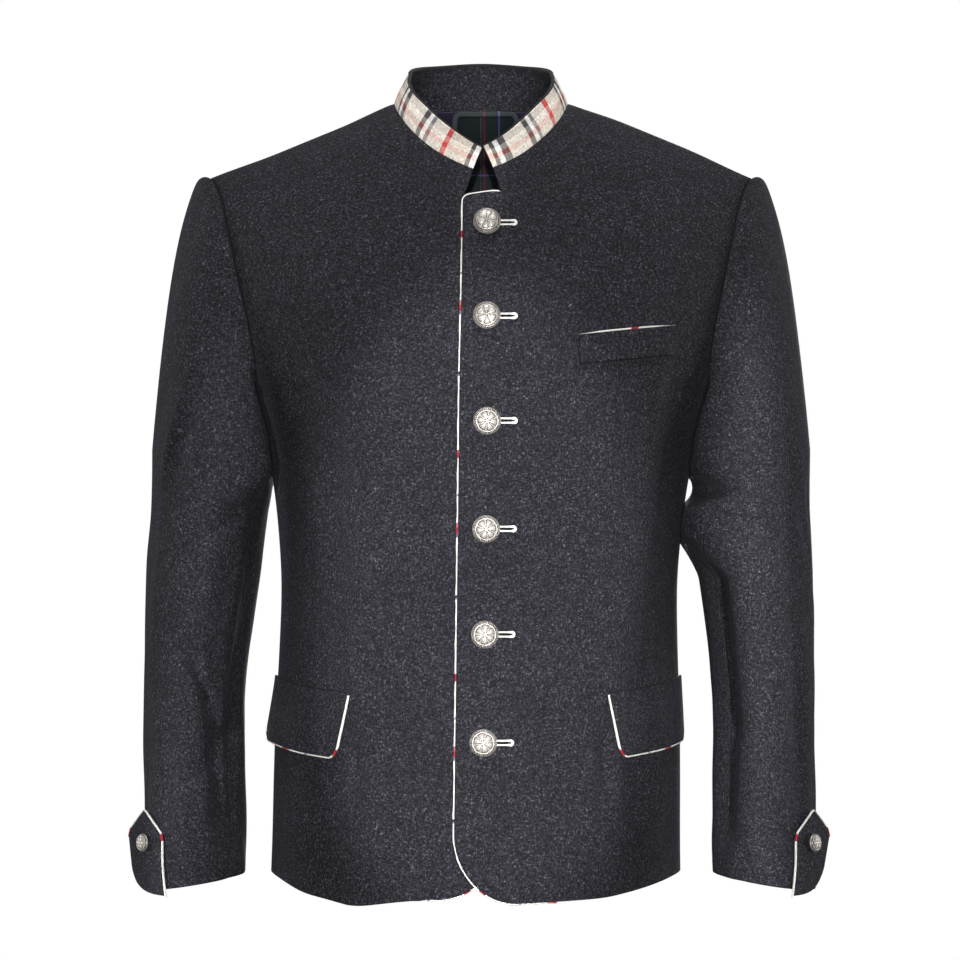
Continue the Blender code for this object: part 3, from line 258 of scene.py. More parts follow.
# Creases that run down a sleeve; the angle is 0 on the outer side and 90 in front.
SLEEVE_CREASES = (
    # side, angle_top, z_top, angle_low, z_low, half_width, depth, low_share
    (-1, 156.0, -0.350, 154.0, -0.640, 0.0210, 0.0095, 0.90),
    (-1, 72.0, -0.448, 112.0, -0.512, 0.0065, 0.0072, 0.90),
    (-1, 121.0, -0.492, 128.0, -0.606, 0.0150, 0.0108, 0.80),
    (-1, 84.0, -0.545, 78.0, -0.640, 0.0110, -0.0037, 0.80),
    (-1, 124.0, -0.330, 118.0, -0.470, 0.0160, 0.0040, 0.60),
    (-1, 20.0, -0.260, 20.0, -0.600, 0.0140, 0.0027, 0.60),
    (-1, 71.0, -0.236, 43.0, -0.326, 0.0042, -0.0034, 0.40),
    (-1, 84.0, -0.245, 56.0, -0.335, 0.0085, 0.0037, 0.30),
    (-1, 46.0, -0.225, 22.0, -0.300, 0.0100, 0.0024, 0.30),
    (-1, -70.0, -0.300, -96.0, -0.400, 0.0080, 0.0024, 0.30),
    (-1, -60.0, -0.480, -90.0, -0.520, 0.0070, 0.0024, 0.30),
    (1, 154.0, -0.340, 152.0, -0.640, 0.0210, 0.0095, 0.90),
    (1, 104.0, -0.230, 108.0, -0.640, 0.0150, -0.0040, 0.80),
    (1, 134.0, -0.300, 140.0, -0.620, 0.0110, 0.0045, 0.60),
    (1, 58.0, -0.280, 52.0, -0.620, 0.0120, 0.0044, 0.60),
    (1, 44.0, -0.325, 26.0, -0.400, 0.0060, 0.0027, 0.30),
    (1, 32.0, -0.345, 22.0, -0.415, 0.0060, -0.0024, 0.30),
    (1, -66.0, -0.310, -92.0, -0.410, 0.0080, 0.0024, 0.30),
    (1, -62.0, -0.470, -94.0, -0.515, 0.0070, 0.0024, 0.30),
)


# ---------------------------------------------------------------- the form
def read(table, column, key):
    """The value of a column at each key, on a smooth curve through the table's rows."""
    keys = np.array([row[0] for row in table])
    values = np.array([row[column] for row in table])
    low = np.maximum(np.arange(len(keys)) - 1, 0)
    high = np.minimum(np.arange(len(keys)) + 1, len(keys) - 1)
    slopes = (values[high] - values[low]) / (keys[high] - keys[low])
    key = np.clip(key, keys[0], keys[-1])
    i = np.clip(np.searchsorted(keys, key, side="right") - 1, 0, len(keys) - 2)
    span = keys[i + 1] - keys[i]
    t = (key - keys[i]) / span
    return (values[i] * (1 + 2 * t) * (1 - t) ** 2 + values[i + 1] * t * t * (3 - 2 * t)
            + span * slopes[i] * t * (1 - t) ** 2 - span * slopes[i + 1] * t * t * (1 - t))


def rows_of(table, key):
    """The rows of one side or face, without that first column."""
    return [row[1:] for row in table if row[0] == key]


def unit(vectors):
    return vectors / np.maximum(np.linalg.norm(vectors, axis=-1, keepdims=True), TINY)


def stacked(*values):
    return np.stack(np.broadcast_arrays(*values), axis=-1)


def as_grids(*values):
    return np.broadcast_arrays(*(np.asarray(value, float) for value in values))


def shares(count):
    return np.arange(count + 1) / count


def circle(count):
    return 2 * math.pi * np.arange(count) / count


def quarter_turn(count):
    return [math.pi / 2 * k / count for k in range(count + 1)]


def mix(low, high, share):
    return low + (high - low) * share


def swell(value, middle, half):
    """A smooth bump of height 1."""
    return np.exp(-(((value - middle) / half) ** 2))


def oval(share, power):
    """The height of a superellipse of height 1 at this share of its half width."""
    return np.maximum(1 - share**power, 0.0) ** (1 / power)


def round_corner(radius, inside):
    """How far an edge stands back at this distance inside its round corner."""
    return radius - np.sqrt(radius**2 - (radius - inside) ** 2)


def ease(t):
    t = np.clip(t, 0.0, 1.0)
    return t * t * (3 - 2 * t)


def bisect(low, high, shape, function):
    low, high = np.full(shape, float(low)), np.full(shape, float(high))
    for _ in range(HALVINGS):
        middle = 0.5 * (low + high)
        above = function(middle) > 0
        high = np.where(above, middle, high)
        low = np.where(above, low, middle)
    return 0.5 * (low + high)


def rise_angle(level):
    return np.radians(90.0) * np.maximum(level - 1.0, 0.0)


def depth(face, level):
    z = SIDE_HEM_Z + np.minimum(level, 1.0) * TALL
    fall = np.maximum(np.cos(rise_angle(level)), 0.0) ** (2 / RISE[face])
    return read(BODY, 2 if face < 0 else 3, z) * fall


def half_width(face, level):
    angle = np.degrees(rise_angle(level))
    reach = read(ARMHOLE, 2 if face < 0 else 3, angle)
    upper = read(ARMHOLE, 1, angle) / oval(reach, ROUNDNESS)
    lower = read(BODY, 1, SIDE_HEM_Z + np.minimum(level, 1.0) * TALL)
    return np.where(level <= 1.0, lower, upper)


def shoulder_z(x):
    reach = np.abs(x)
    skew = SHOULDER_SKEW * (ease((reach - SKEW_FROM[0]) / SKEW_FROM[1])
                            * ease((SKEW_TO[0] - reach) / SKEW_TO[1]))
    return (SHOULDER_PEAK_Z - SHOULDER_FALL * np.hypot(x, SHOULDER_EASE)
            + np.copysign(skew, x))


def lean_at(z):
    return LEAN_X * np.maximum(LEAN_FROM_Z - z, 0.0) / (LEAN_FROM_Z - SIDE_HEM_Z)


def height_at(face, x, level):
    climb = np.sin(rise_angle(level)) ** (2 / RISE[face])
    upper = UNDERARM_Z + (shoulder_z(x) - UNDERARM_Z) * climb
    share = np.minimum(np.abs(x) / half_width(face, level), 1.0)
    rest = 1 - np.minimum(level, 1.0)
    lower = SIDE_HEM_Z + level * TALL - HEM_DIP[face] * (1 - share**2) * rest**2
    if face < 0:
        waves = sum(drop * swell(x, at, wide) for at, wide, drop in HEM_WAVES)
        lower = lower - waves * rest**HEM_WAVE_FADE
    return np.where(level > 1.0, upper, lower)


def angle_of(face, x, level):
    share = np.minimum(np.abs(x) / half_width(face, level), 1.0)
    return np.copysign(np.arcsin(share ** (ROUNDNESS / 2)), x)


def creased(rows, across, z):
    """How far a table of straight creases sinks the cloth at each place."""
    total = np.zeros(np.broadcast(across, z).shape)
    for a_top, z_top, a_low, z_low, half, sunk, low_share in rows:
        along = (z_top - z) / (z_top - z_low)
        near = np.clip(along, 0.0, 1.0)
        length = math.hypot(z_top - z_low, a_top - a_low)
        offset = (across - mix(a_top, a_low, near)) * (z_top - z_low) / length / half
        beyond = (along - near) * length / (FOLD_END_REACH * half)
        depths = read(((0.0, FOLD_TOP_SHARE), (0.5, 1.0), (1.0, low_share)), 1, near)
        total += sunk * depths * np.exp(-offset * offset - beyond * beyond)
    return total


def waviness(across, z, turn):
    total = np.zeros(np.broadcast(across, z).shape)
    for u_cycles, z_cycles, phase, height in WAVES:
        total += height * np.sin(2 * np.pi * (u_cycles * across + z_cycles * z) + phase + turn)
    return total


def body_surface(face, angle, level, layer=0, lift=0.0, creases=True):
    """Points of the body's outer face, shape (..., 3)."""
    wide, deep = half_width(face, level), depth(face, level)
    sine, cosine = np.abs(np.sin(angle)), np.maximum(np.cos(angle), 0.0)
    x = np.copysign(wide * sine ** (2 / ROUNDNESS), angle)
    y = face * deep * cosine ** (2 / ROUNDNESS)
    z = height_at(face, x, level)
    out = unit(stacked(np.copysign(sine, angle) / wide,
                       face * cosine / np.maximum(deep, LEAST_DEPTH),
                       0.5 * np.maximum(level - 1.0, 0.0) ** 2 / wide))
    sink = creased(rows_of(BODY_FOLDS, face), x, z)
    if face < 0:
        for side, turns in SIDE_TURNS.items():
            beyond = np.clip((side * x - read(turns, 1, z)) / TURN_WIDTH, 0.0, 1.0)
            sink = sink + read(turns, 2, z) * (1 - (1 - beyond) ** 2)
    if creases:
        sink = sink + creased(rows_of(BODY_CREASES, face), x, z) + waviness(x, z, 1.0 + face)
    fade = ease(cosine / FADE_AT_SIDE) * ease((2.0 - level) / FADE_AT_SHOULDER)
    lift = lift - sink * fade
    if layer:
        lift = lift + layer * LAYER * (1 - ease((layer * x - LAYER_HOLD) / LAYER_RUN))
    return stacked(x + lean_at(z), y, z) + out * np.asarray(lift)[..., None]


def front_surface(side, x, z, lift=0.0):
    x, z = as_grids(x, z)
    level = bisect(0.0, 2.0, x.shape, lambda each: height_at(-1, x, each) - z)
    return body_surface(-1, angle_of(-1, x, level), level, side, lift)


# ---------------------------------------------------------------- sheets
def quads(row, column, columns):
    """The corners of these cells of a grid whose last column may close on its first."""
    here, after = row * columns + column, row * columns + (column + 1) % columns
    return np.stack([here, after, after + columns, here + columns], axis=1)


class Sheet:
    """A grid of points with the cells that exist, and one normal and reach at each point."""

    def __init__(self, points, cells=None, wrap=False, flip=False, uv=None):
        self.shape = points.shape[:2]
        self.points = points.reshape(-1, 3)
        rows, columns = self.shape
        if cells is None:
            cells = np.ones((rows - 1, columns if wrap else columns - 1), bool)
        faces = quads(*np.nonzero(cells), columns)
        self.faces = faces[:, ::-1] if flip else faces
        self.uv = np.full((rows * columns, 2), NO_SEAM) if uv is None else uv.reshape(-1, 2)

    def grid(self):
        return self.points.reshape(*self.shape, 3)

    def face_normals(self):
        a, b, c, d = (self.points[self.faces[:, k]] for k in range(4))
        return unit(np.cross(c - a, d - b))

    def part(self, chosen):
        """The same sheet with only some of its faces."""
        piece = Sheet.__new__(Sheet)
        piece.__dict__.update(self.__dict__)
        piece.faces = self.faces[chosen]
        return piece


def run(points, axis, back=False):
    """Distance of each point of a grid from its first, or last, row or column."""
    points = np.moveaxis(points, axis, 0)
    if back:
        points = points[::-1]
    steps = np.linalg.norm(np.diff(points, axis=0), axis=-1)
    total = np.concatenate([np.zeros((1, steps.shape[1])), np.cumsum(steps, axis=0)])
    return np.moveaxis(total[::-1] if back else total, 0, axis)


def path_run(path):
    return run(path[:, None], 0)[:, 0]


def seam_marks(seams, line=NO_SEAM):
    """What the loden reads for its painted shade and seam grooves: distance to the next seam, and
    offset from a faint line.
    """
    nearest = np.minimum(np.minimum.reduce(seams), NO_SEAM)
    return stacked(nearest, np.clip(line, -NO_SEAM, NO_SEAM))


def share_normals(sheets):
    """One normal for each place, the mean over every sheet that meets there."""
    places, normals = [], []
    for sheet in sheets:
        found = sheet.face_normals()
        for corner in sheet.faces.T:
            places.append(sheet.points[corner])
            normals.append(found)
    keys = np.round(np.concatenate(places) / SAME_PLACE).astype(np.int64)
    group = np.unique(keys, axis=0, return_inverse=True)[1].ravel()
    normals = np.concatenate(normals)
    total = np.zeros((group.max() + 1, 3))
    np.add.at(total, group, normals)
    total = unit(total)
    least = np.ones(len(total))
    np.minimum.at(least, group, np.einsum("ij,ij->i", normals, total[group]))
    reach = 1 / np.maximum(least, 1 / MITRE_MOST)
    start = 0
    for sheet in sheets:
        sheet.normals = np.zeros_like(sheet.points)
        sheet.reach = np.ones(len(sheet.points))
        for corner in sheet.faces.T:
            stop = start + len(sheet.faces)
            sheet.normals[corner] = total[group[start:stop]]
            sheet.reach[corner] = reach[group[start:stop]]
            start = stop


def rim(sheet):
    """Directed edges with cloth on one side only, and each rim point's step into the cloth."""
    starts, ends = sheet.faces.ravel(), np.roll(sheet.faces, -1, axis=1).ravel()
    count = len(sheet.points)
    lone = ~np.isin(starts * count + ends, ends * count + starts)
    a, b = starts[lone], ends[lone]
    normal = unit(sheet.normals[a] + sheet.normals[b])
    inward = unit(np.cross(normal, sheet.points[b] - sheet.points[a]))
    first, second = np.zeros((count, 3)), np.zeros((count, 3))
    first[a] = inward
    second[b] = inward
    spread = np.maximum(1 + np.einsum("ij,ij->i", first, second), SHARPEST_CORNER)
    return a, b, (first + second) / spread[:, None]


def linked(thing):
    bpy.context.scene.collection.objects.link(thing)
    return thing


def make_mesh(name, vertices, faces, uv=None, smooth=SMOOTH):
    mesh = bpy.data.meshes.new(name)
    rows = [list(map(int, face)) for face in faces]
    mesh.from_pydata(np.asarray(vertices).tolist(), [], rows)
    if uv is not None:
        layer = mesh.uv_layers.new(name="cloth")
        corners = np.empty(len(mesh.loops), np.int32)
        mesh.loops.foreach_get("vertex_index", corners)
        layer.data.foreach_set("uv", np.asarray(uv, np.float32)[corners].ravel())
    mesh.shade_smooth()
    mesh.set_sharp_from_angle(angle=math.radians(smooth))
    mesh.update()
    return linked(bpy.data.objects.new(name, mesh))


def shell(name, sheet, thickness, sink=0.0):
    """Close a sheet into a cloth shell with rounded edges."""
    edge = min(EDGE_ROUND, EDGE_SHARE * thickness)
    soft = ROUND_SHARE * edge
    a, b, inward = rim(sheet)
    down = sheet.normals * -sheet.reach[:, None]

    def numbered(keys):
        place = np.full(len(sheet.points), -1)
        place[keys] = np.arange(len(keys))
        return place

    def layer(keys, inset, below):
        """Points set down into the cloth and, on the rim, in from it."""
        return sheet.points[keys] + inward[keys] * (SEAM + inset) + down[keys] * (sink + below)

    used, on_rim = np.unique(sheet.faces), np.unique(np.concatenate([a, b]))
    place, rim_place = numbered(used), numbered(on_rim)
    rings = ((soft, soft), (0.0, edge), (0.0, thickness - edge), (soft, thickness - soft))
    vertices = [layer(used, edge, 0.0), layer(used, edge, thickness),
                *(layer(on_rim, *ring) for ring in rings)]
    uv = [sheet.uv[used]] * 2 + [sheet.uv[on_rim]] * len(rings)
    count, around = len(used), len(on_rim)
    faces = [place[sheet.faces], place[sheet.faces][:, ::-1] + count]
    steps = [place, *(rim_place + 2 * count + k * around for k in range(len(rings))),
             place + count]
    for upper, lower in zip(steps, steps[1:]):
        faces.append(np.stack([upper[b], upper[a], lower[a], lower[b]], axis=1))
    return make_mesh(name, np.concatenate(vertices), np.concatenate(faces), np.concatenate(uv))


def volume(vertices, sides, rings):
    """Six times the volume inside a tube and its two flat ends."""
    a, b, c, d = (vertices[sides[:, k]] for k in range(4))
    total = (a * (np.cross(b, c) + np.cross(c, d))).sum()
    for ring, sign in ((rings[0], -1), (rings[-1], 1)):
        total += sign * (ring.mean(axis=0) * np.cross(ring, np.roll(ring, -1, axis=0))).sum()
    return total


def tube_data(rings, start=0.0):
    """A closed solid through rings of equal count; its u runs along it in metres."""
    rings = np.asarray(rings, float)
    rows, count = rings.shape[:2]
    along = start + path_run(rings.mean(axis=1))
    uv = stacked(along[:, None], np.arange(count) / count).reshape(-1, 2)
    sides = quads(*(index.ravel() for index in np.mgrid[0:rows - 1, 0:count]), count)
    ends = [list(range(count))[::-1], list(range((rows - 1) * count, rows * count))]
    faces = [*sides.tolist(), *ends]
    vertices = rings.reshape(-1, 3)
    if volume(vertices, sides, rings) < 0:
        faces = [face[::-1] for face in faces]
    return vertices, faces, uv


def joined(name, parts, smooth=SMOOTH):
    """One mesh from several (vertices, faces, uv)."""
    vertices, faces, uv, count = [], [], [], 0
    for each_vertices, each_faces, each_uv in parts:
        vertices.append(each_vertices)
        uv.append(each_uv)
        faces += [[i + count for i in face] for face in each_faces]
        count += len(each_vertices)
    return make_mesh(name, np.concatenate(vertices), faces, np.concatenate(uv), smooth)


# ---------------------------------------------------------------- panels
def finer(low, high, length):
    """Values from low up to but not including high, about a step apart over this length."""
    count = max(int(round(length / STEP)), 1)
    return [low + (high - low) * k / count for k in range(count)]


CORNER_STEPS = 20
STRETCHES = (0.150, 0.030, 0.024, 0.062)  # of armhole between the marks of row_levels
TOWARDS_NOTCH = (0.72, 0.48, 0.28, 0.14, 0.05)  # shares of the last step below the notch


def row_levels():
    """Levels of the rows, hem to shoulder, with the marks that the solids' seams keep."""
    start = CORNER_RADIUS / TALL
    levels = [CORNER_RADIUS * (1 - math.cos(turn)) / TALL
              for turn in quarter_turn(CORNER_STEPS)[:-1]]
    levels += finer(start, 1.0, (1.0 - start) * TALL)
    marks = [0.0, LOW_ANGLE, NOTCH_ANGLE, COLLAR_END_ANGLE, BACK_NECK_ANGLE]
    for low, high, length in zip(marks, marks[1:], STRETCHES):
        angles = finer(low, high, length)
        if high == NOTCH_ANGLE:
            angles += [high - (high - angles[-1]) * share for share in TOWARDS_NOTCH]
        levels += [1.0 + angle / 90.0 for angle in angles]
    neck = mix(BACK_NECK_ANGLE, 90.0, shares(NECK_ROWS) ** 2)
    return np.array(levels + [1.0 + angle / 90.0 for angle in neck])


LEVELS = row_levels()
LOW_ROW, NOTCH_ROW, COLLAR_ROW, BACK_NECK_ROW = (
    int(np.argmin(np.abs(LEVELS - 1.0 - angle / 90.0)))
    for angle in (LOW_ANGLE, NOTCH_ANGLE, COLLAR_END_ANGLE, BACK_NECK_ANGLE))
UNDERARM_ROW = int(np.argmin(np.abs(LEVELS - 1.0)))
TOP_ROW = len(LEVELS) - 1
LAP_COLUMNS, SIDE_COLUMNS = 9, 50


def front_neck_x(level):
    top = shoulder_z(NECK_HALF_WIDTH)

    def below(x):
        return top - NECK_DROP * oval(x / NECK_HALF_WIDTH, NECK_ROUND) - height_at(-1, x, level)

    found = bisect(0.0, NECK_HALF_WIDTH, level.shape, below)
    return np.where(level >= 2.0, NECK_HALF_WIDTH, found)


def back_neck_x(level):
    seam_depth = depth(1, LEVELS[BACK_NECK_ROW])

    def behind(x):
        share = x / half_width(1, level)
        return (depth(1, level) * oval(share, ROUNDNESS)
                - seam_depth * oval(x / NECK_HALF_WIDTH, BACK_NECK_ROUND))

    found = bisect(0.0, NECK_HALF_WIDTH, level.shape, behind)
    return np.where(level >= 2.0, NECK_HALF_WIDTH, found)


def lap_edge_x(level):
    """The free edge of a front, with its round lower corner and small round top corner."""
    height = height_at(-1, 0.0, level)
    share = ease((height - EDGE_SPREAD_Z) / (EDGE_TOP_Z - EDGE_SPREAD_Z))
    up = np.minimum(level * TALL, CORNER_RADIUS)
    down = height_at(-1, 0.0, LEVELS[NOTCH_ROW]) - height
    return (mix(-EDGE_X, -EDGE_TOP_X, share) + round_corner(CORNER_RADIUS, up)
            + round_corner(TOP_CORNER_RADIUS, np.clip(down, 0.0, TOP_CORNER_RADIUS)))


def outer_x(face, level):
    armhole = read(ARMHOLE, 1, np.degrees(rise_angle(level)))
    return np.where(level <= 1.0, half_width(face, level), armhole)


def between(face, level, inner_x, count):
    """Angles of columns from an inner distance to the side seam or the armhole."""
    start, end = angle_of(face, inner_x, level), angle_of(face, outer_x(face, level), level)
    return mix(start[:, None], end[:, None], shares(count))


def level_share(level, low_row, high_row):
    low, high = LEVELS[low_row], LEVELS[high_row]
    return np.clip((level - low) / (high - low), 0.0, 1.0)


def lap_middle_x(level, edge):
    """Where the lap's columns end: a strip from the edge, running to the notch's corner."""
    middle = np.minimum(edge + LAP_STRIP, edge + 0.5 * (outer_x(-1, level) - edge))
    return mix(middle, NOTCH_X, level_share(level, LOW_ROW, NOTCH_ROW))


def inner_front_x():
    """The inner end of the side columns: the lap, then the notch's edge and the neck seam."""
    level = LEVELS
    low = lap_middle_x(level, lap_edge_x(level))
    neck = front_neck_x(level)
    notch = mix(NOTCH_X, neck[COLLAR_ROW], level_share(level, NOTCH_ROW, COLLAR_ROW))
    upper = np.where(level < LEVELS[COLLAR_ROW], notch, neck)
    return np.where(level <= LEVELS[NOTCH_ROW], low, upper)


def front_sheet(side):
    """One front: the lap's columns, then those that reach the side seam and the armhole."""
    edge, inner = lap_edge_x(LEVELS), inner_front_x()
    level = LEVELS[:, None]
    lap_x = mix(edge[:, None], inner[:, None], shares(LAP_COLUMNS)[:-1])
    angles = np.concatenate([angle_of(-1, lap_x, level), between(-1, LEVELS, inner, SIDE_COLUMNS)],
                            axis=1)
    points = body_surface(-1, side * angles, level, side)
    x, z = points[..., 0], points[..., 2]
    if side > 0:
        near = swell(z, points[NOTCH_ROW, 0, 2], LAP_RISE_HALF)
        rise = mix(*LAP_TOP_RISE, ease((x + EDGE_TOP_X) / LAP_RISE_RUN))
        points[..., 2] += rise * near * ease((LAP_RISE_END - x) / SHIFT_FADE)
    else:
        near = swell(z, NECK_END_Z, NECK_END_HALF) * ease((x - NECK_END_X) / SHIFT_FADE)
        points[..., 0] += NECK_END_SHIFT * near
    cells = np.ones((TOP_ROW, LAP_COLUMNS + SIDE_COLUMNS), bool)
    cells[NOTCH_ROW:, :LAP_COLUMNS] = False
    neck = points[COLLAR_ROW:, LAP_COLUMNS]
    from_neck = np.linalg.norm(points[:, :, None] - neck[::3], axis=-1).min(axis=-1)
    # distances to the seams and to the facing's edge, for the loden's painted shade lines
    marks = seam_marks([run(points, 1, True), run(points, 0, True)], from_neck - NECK_LINE)
    return Sheet(points, cells, flip=side < 0, uv=marks)


def back_sheet(side):
    inner = np.where(np.arange(len(LEVELS)) > BACK_NECK_ROW, back_neck_x(LEVELS), 0.0)
    angles = between(1, LEVELS, inner, SIDE_COLUMNS)
    points = body_surface(1, side * angles, LEVELS[:, None])
    # distances to the seams, for the loden's painted seam shade
    marks = seam_marks([run(points, 1), run(points, 1, True), run(points, 0, True)])
    return Sheet(points, flip=side > 0, uv=marks)


# ---------------------------------------------------------------- sleeves
def armhole_loop(front, back):
    """Points round the armhole, up the front and down the back, with their angles."""
    halves = []
    for sheet, turn in ((front, 1), (back, -1)):
        edge = sheet.grid()[UNDERARM_ROW:, -1]
        lengths = path_run(edge)
        halves.append((edge, turn * math.pi * (1 - lengths / lengths[-1])))
    return tuple(np.concatenate([up, down[-2:0:-1]]) for up, down in zip(*halves))


def turned_from(degrees, middle):
    return (degrees - middle + 180.0) % 360.0 - 180.0


def sleeve_sink(side, z, angle):
    """How far the folds and creases of a sleeve sink its cloth."""
    degrees = np.degrees(angle)
    sink = np.zeros(np.broadcast(z, angle).shape)
    for middle, fold_z, half_turn, half_height, rise, sunk in rows_of(SLEEVE_FOLDS, side):
        turn = turned_from(degrees, middle)
        up = (z - fold_z - rise * turn / 90.0) / half_height
        sink += sunk * np.exp(-(turn / half_turn) ** 2 - up * up)
    metre = SLEEVE_RADIUS * math.pi / 180
    for top, z_top, low, z_low, *form in rows_of(SLEEVE_CREASES, side):
        row = (0.0, z_top, (low - top) * metre, z_low, *form)
        sink += creased([row], turned_from(degrees, top) * metre, z)
    return sink * ease((z - CUFF_Z) / CUFF_FADE)


def sleeve_surface(side, z, angle, creases=True):
    """Points of a sleeve below the cap; angle 0 is the outer side, 90 degrees the front."""
    z, angle = as_grids(z, angle)
    inner, outer, middle, half = (read(SLEEVE, column, z) for column in (1, 2, 3, 4))
    spread = SLEEVE_SPREAD[side] * ease((SPREAD_FROM_Z - z) / (SPREAD_FROM_Z - SPREAD_TO_Z))
    sink = sleeve_sink(side, z, angle) if creases else np.zeros(z.shape)
    sink += (waviness(WAVE_TURN * np.sin(angle), z, 2.0 + side)
             * ease((RING_Z - z) / CUFF_FADE))
    x = 0.5 * (inner + outer) + spread + (0.5 * (outer - inner) - sink) * np.cos(angle)
    y = middle - (half - sink) * np.sin(angle)
    level = np.clip((z - SIDE_HEM_Z) / TALL, 0.0, 1.0)
    deep = np.where(y < 0, read(BODY, 2, z), read(BODY, 3, z))
    side_x = (half_width(-1, level) * oval(np.minimum(np.abs(y) / deep, 1.0), ROUNDNESS)
              + side * lean_at(z) + HUG_CLEAR)
    near = (ease((HUG_TOP_Z - z) / HUG_IN) * ease((z - HUG_LOW_Z[side]) / HUG_OUT)
            * ease(-np.cos(angle) / HUG_ROUND))
    gap = swell(z, GAP_Z, GAP_HALF) * near
    near = near - gap * (GAP_OPEN[side] > 0)
    least = np.where(z < RING_Z - BELOW_RING, side_x, 0.0)
    x = np.maximum(x + (side_x - x) * near, least) + GAP_OPEN[side] * gap
    tilt = CUFF_TILT * ease((TILT_FROM_Z - z) / (TILT_FROM_Z - CUFF_Z))
    return np.stack([side * x, y, z - tilt * np.cos(angle)], axis=-1)


def sleeve_sheet(side, start, angle):
    end = sleeve_surface(side, RING_Z, angle, creases=False)
    over = np.cos(angle)
    drop = CAP_DROP + CAP_DROP_UNDER * np.maximum(-over, 0.0)
    out = unit(stacked(float(side), -CAP_TO_FRONT * np.sin(angle), -drop))
    up = stacked(-side * (CAP_UP_IN[0] + CAP_UP_IN[1] * over), 0.0, 1.0)
    span = np.linalg.norm(end - start, axis=1)
    first = start + out * (CAP_OUT[0] + CAP_OUT[1] * over)[:, None]
    second = end + up * (span * (CAP_UP[0] + CAP_UP[1] * over))[:, None]
    share = (shares(CAP_ROWS)[:-1] ** CAP_CROWDING)[:, None, None]
    rest = 1 - share
    cap = (start * rest**3 + first * (3 * rest**2 * share) + second * (3 * rest * share**2)
           + end * share**3)
    radial = stacked(side * over, -np.sin(angle), 0.0)
    fade = ease(run(cap, 0) / CREASE_FROM_SEAM) * ease((over - CREASE_OVER[0]) / CREASE_OVER[1])
    cap = cap - radial * (sleeve_sink(side, cap[..., 2], angle) * fade)[..., None]
    levels = np.array(finer(RING_Z, CUFF_Z, RING_Z - CUFF_Z) + [CUFF_Z])
    points = np.concatenate([cap, sleeve_surface(side, levels[:, None], angle)])
    from_seam = run(points, 0)
    top = np.maximum(over, 0.0)
    puff = stacked(side * HEAD_OUT * over, -np.sin(angle), top**0.5)
    puff *= (HEAD_PUFF * ease((over - HEAD_OVER[0]) / HEAD_OVER[1]) + HEAD_ROLL * top**3)[:, None]
    roll = from_seam / HEAD_REACH * np.exp(1 - from_seam / HEAD_REACH)
    points = points + puff * roll[..., None]
    turned = run(np.concatenate([points, points[:, :1]], axis=1), 1)
    girth, turned = turned[:, -1:], turned[:, :-1]
    # distances to the armhole and the two long seams, for the loden's painted seam shade and
    # grooves
    seams = [from_seam]
    for column in seam_columns(angle):
        away = np.abs(turned - turned[:, column:column + 1])
        seams.append(np.minimum(away, girth - away) + SLEEVE_SEAM_FAINT)
    return Sheet(points, wrap=True, flip=side > 0, uv=seam_marks(seams))


def seam_columns(angle):
    """The columns of a sleeve's front and back seams."""
    turns = (math.pi * (1 - FRONT_SEAM_SHARE), -math.pi * (1 - BACK_SEAM_SHARE))
    return [int(np.argmin(np.abs(angle - turn))) for turn in turns]


def sleeve_parts(sheet, angle):
    """The top sleeve between the two seams, and the under sleeve beside the underarm."""
    front, back = seam_columns(angle)
    column = np.tile(np.arange(sheet.shape[1]), sheet.shape[0] - 1)
    top = (column >= front) & (column < back)
    return sheet.part(top), sheet.part(~top)


# ---------------------------------------------------------------- collar, lining and loop
COLLAR = (
    # share, rise, lean_in, slant_to_front
    (0.00, 0.0215, 0.0150, 0.0068),
    (0.15, 0.0235, 0.0155, 0.0030),
    (0.26, 0.0225, 0.0145, 0.0012),
    (0.35, 0.0232, 0.0100, 0.0000),
    (0.45, 0.0232, 0.0105, 0.0000),
    (0.55, 0.0252, 0.0135, 0.0000),
    (0.62, 0.0280, 0.0125, 0.0000),
    (0.69, 0.0325, 0.0105, 0.0000),
    (0.77, 0.0362, 0.0085, 0.0000),
    (0.87, 0.0382, 0.0050, 0.0000),
    (1.00, 0.0380, 0.0040, 0.0000),
)
COLLAR_ROWS = 12
COLLAR_BULGE = 0.0012
NECK_AXIS_Y = -0.020
BINDING_SECTION = (
    # out from the collar's outer face, up from its top edge
    (0.0001, -0.0005),
    (0.0004, -0.0005),
    (0.0005, 0.0001),
    (0.0003, 0.0009),
    (-0.0004, 0.0015),
    (-0.00125, 0.0017),
    (-0.0021, 0.0015),
    (-0.0028, 0.0009),
    (-0.0030, 0.0001),
    (-0.0029, -0.0009),
    (-0.0026, -0.0009),
    (-0.0026, 0.0002),
    (0.0001, 0.0002),
)
LINING_LEVEL = 0.913
LOOP_WIDTH, LOOP_THICK = 0.0046, 0.0016
LOOP_HALF_SPAN, LOOP_X, LOOP_DROP = 0.0270, 0.0040, 0.0140
LOOP_BEND, LOOP_RISE, LOOP_SQUARE = 0.0060, -0.0055, 0.6
LOOP_BEND_STEPS, LOOP_FLAT_STEPS = 8, 13
ROUND_STEPS = 12


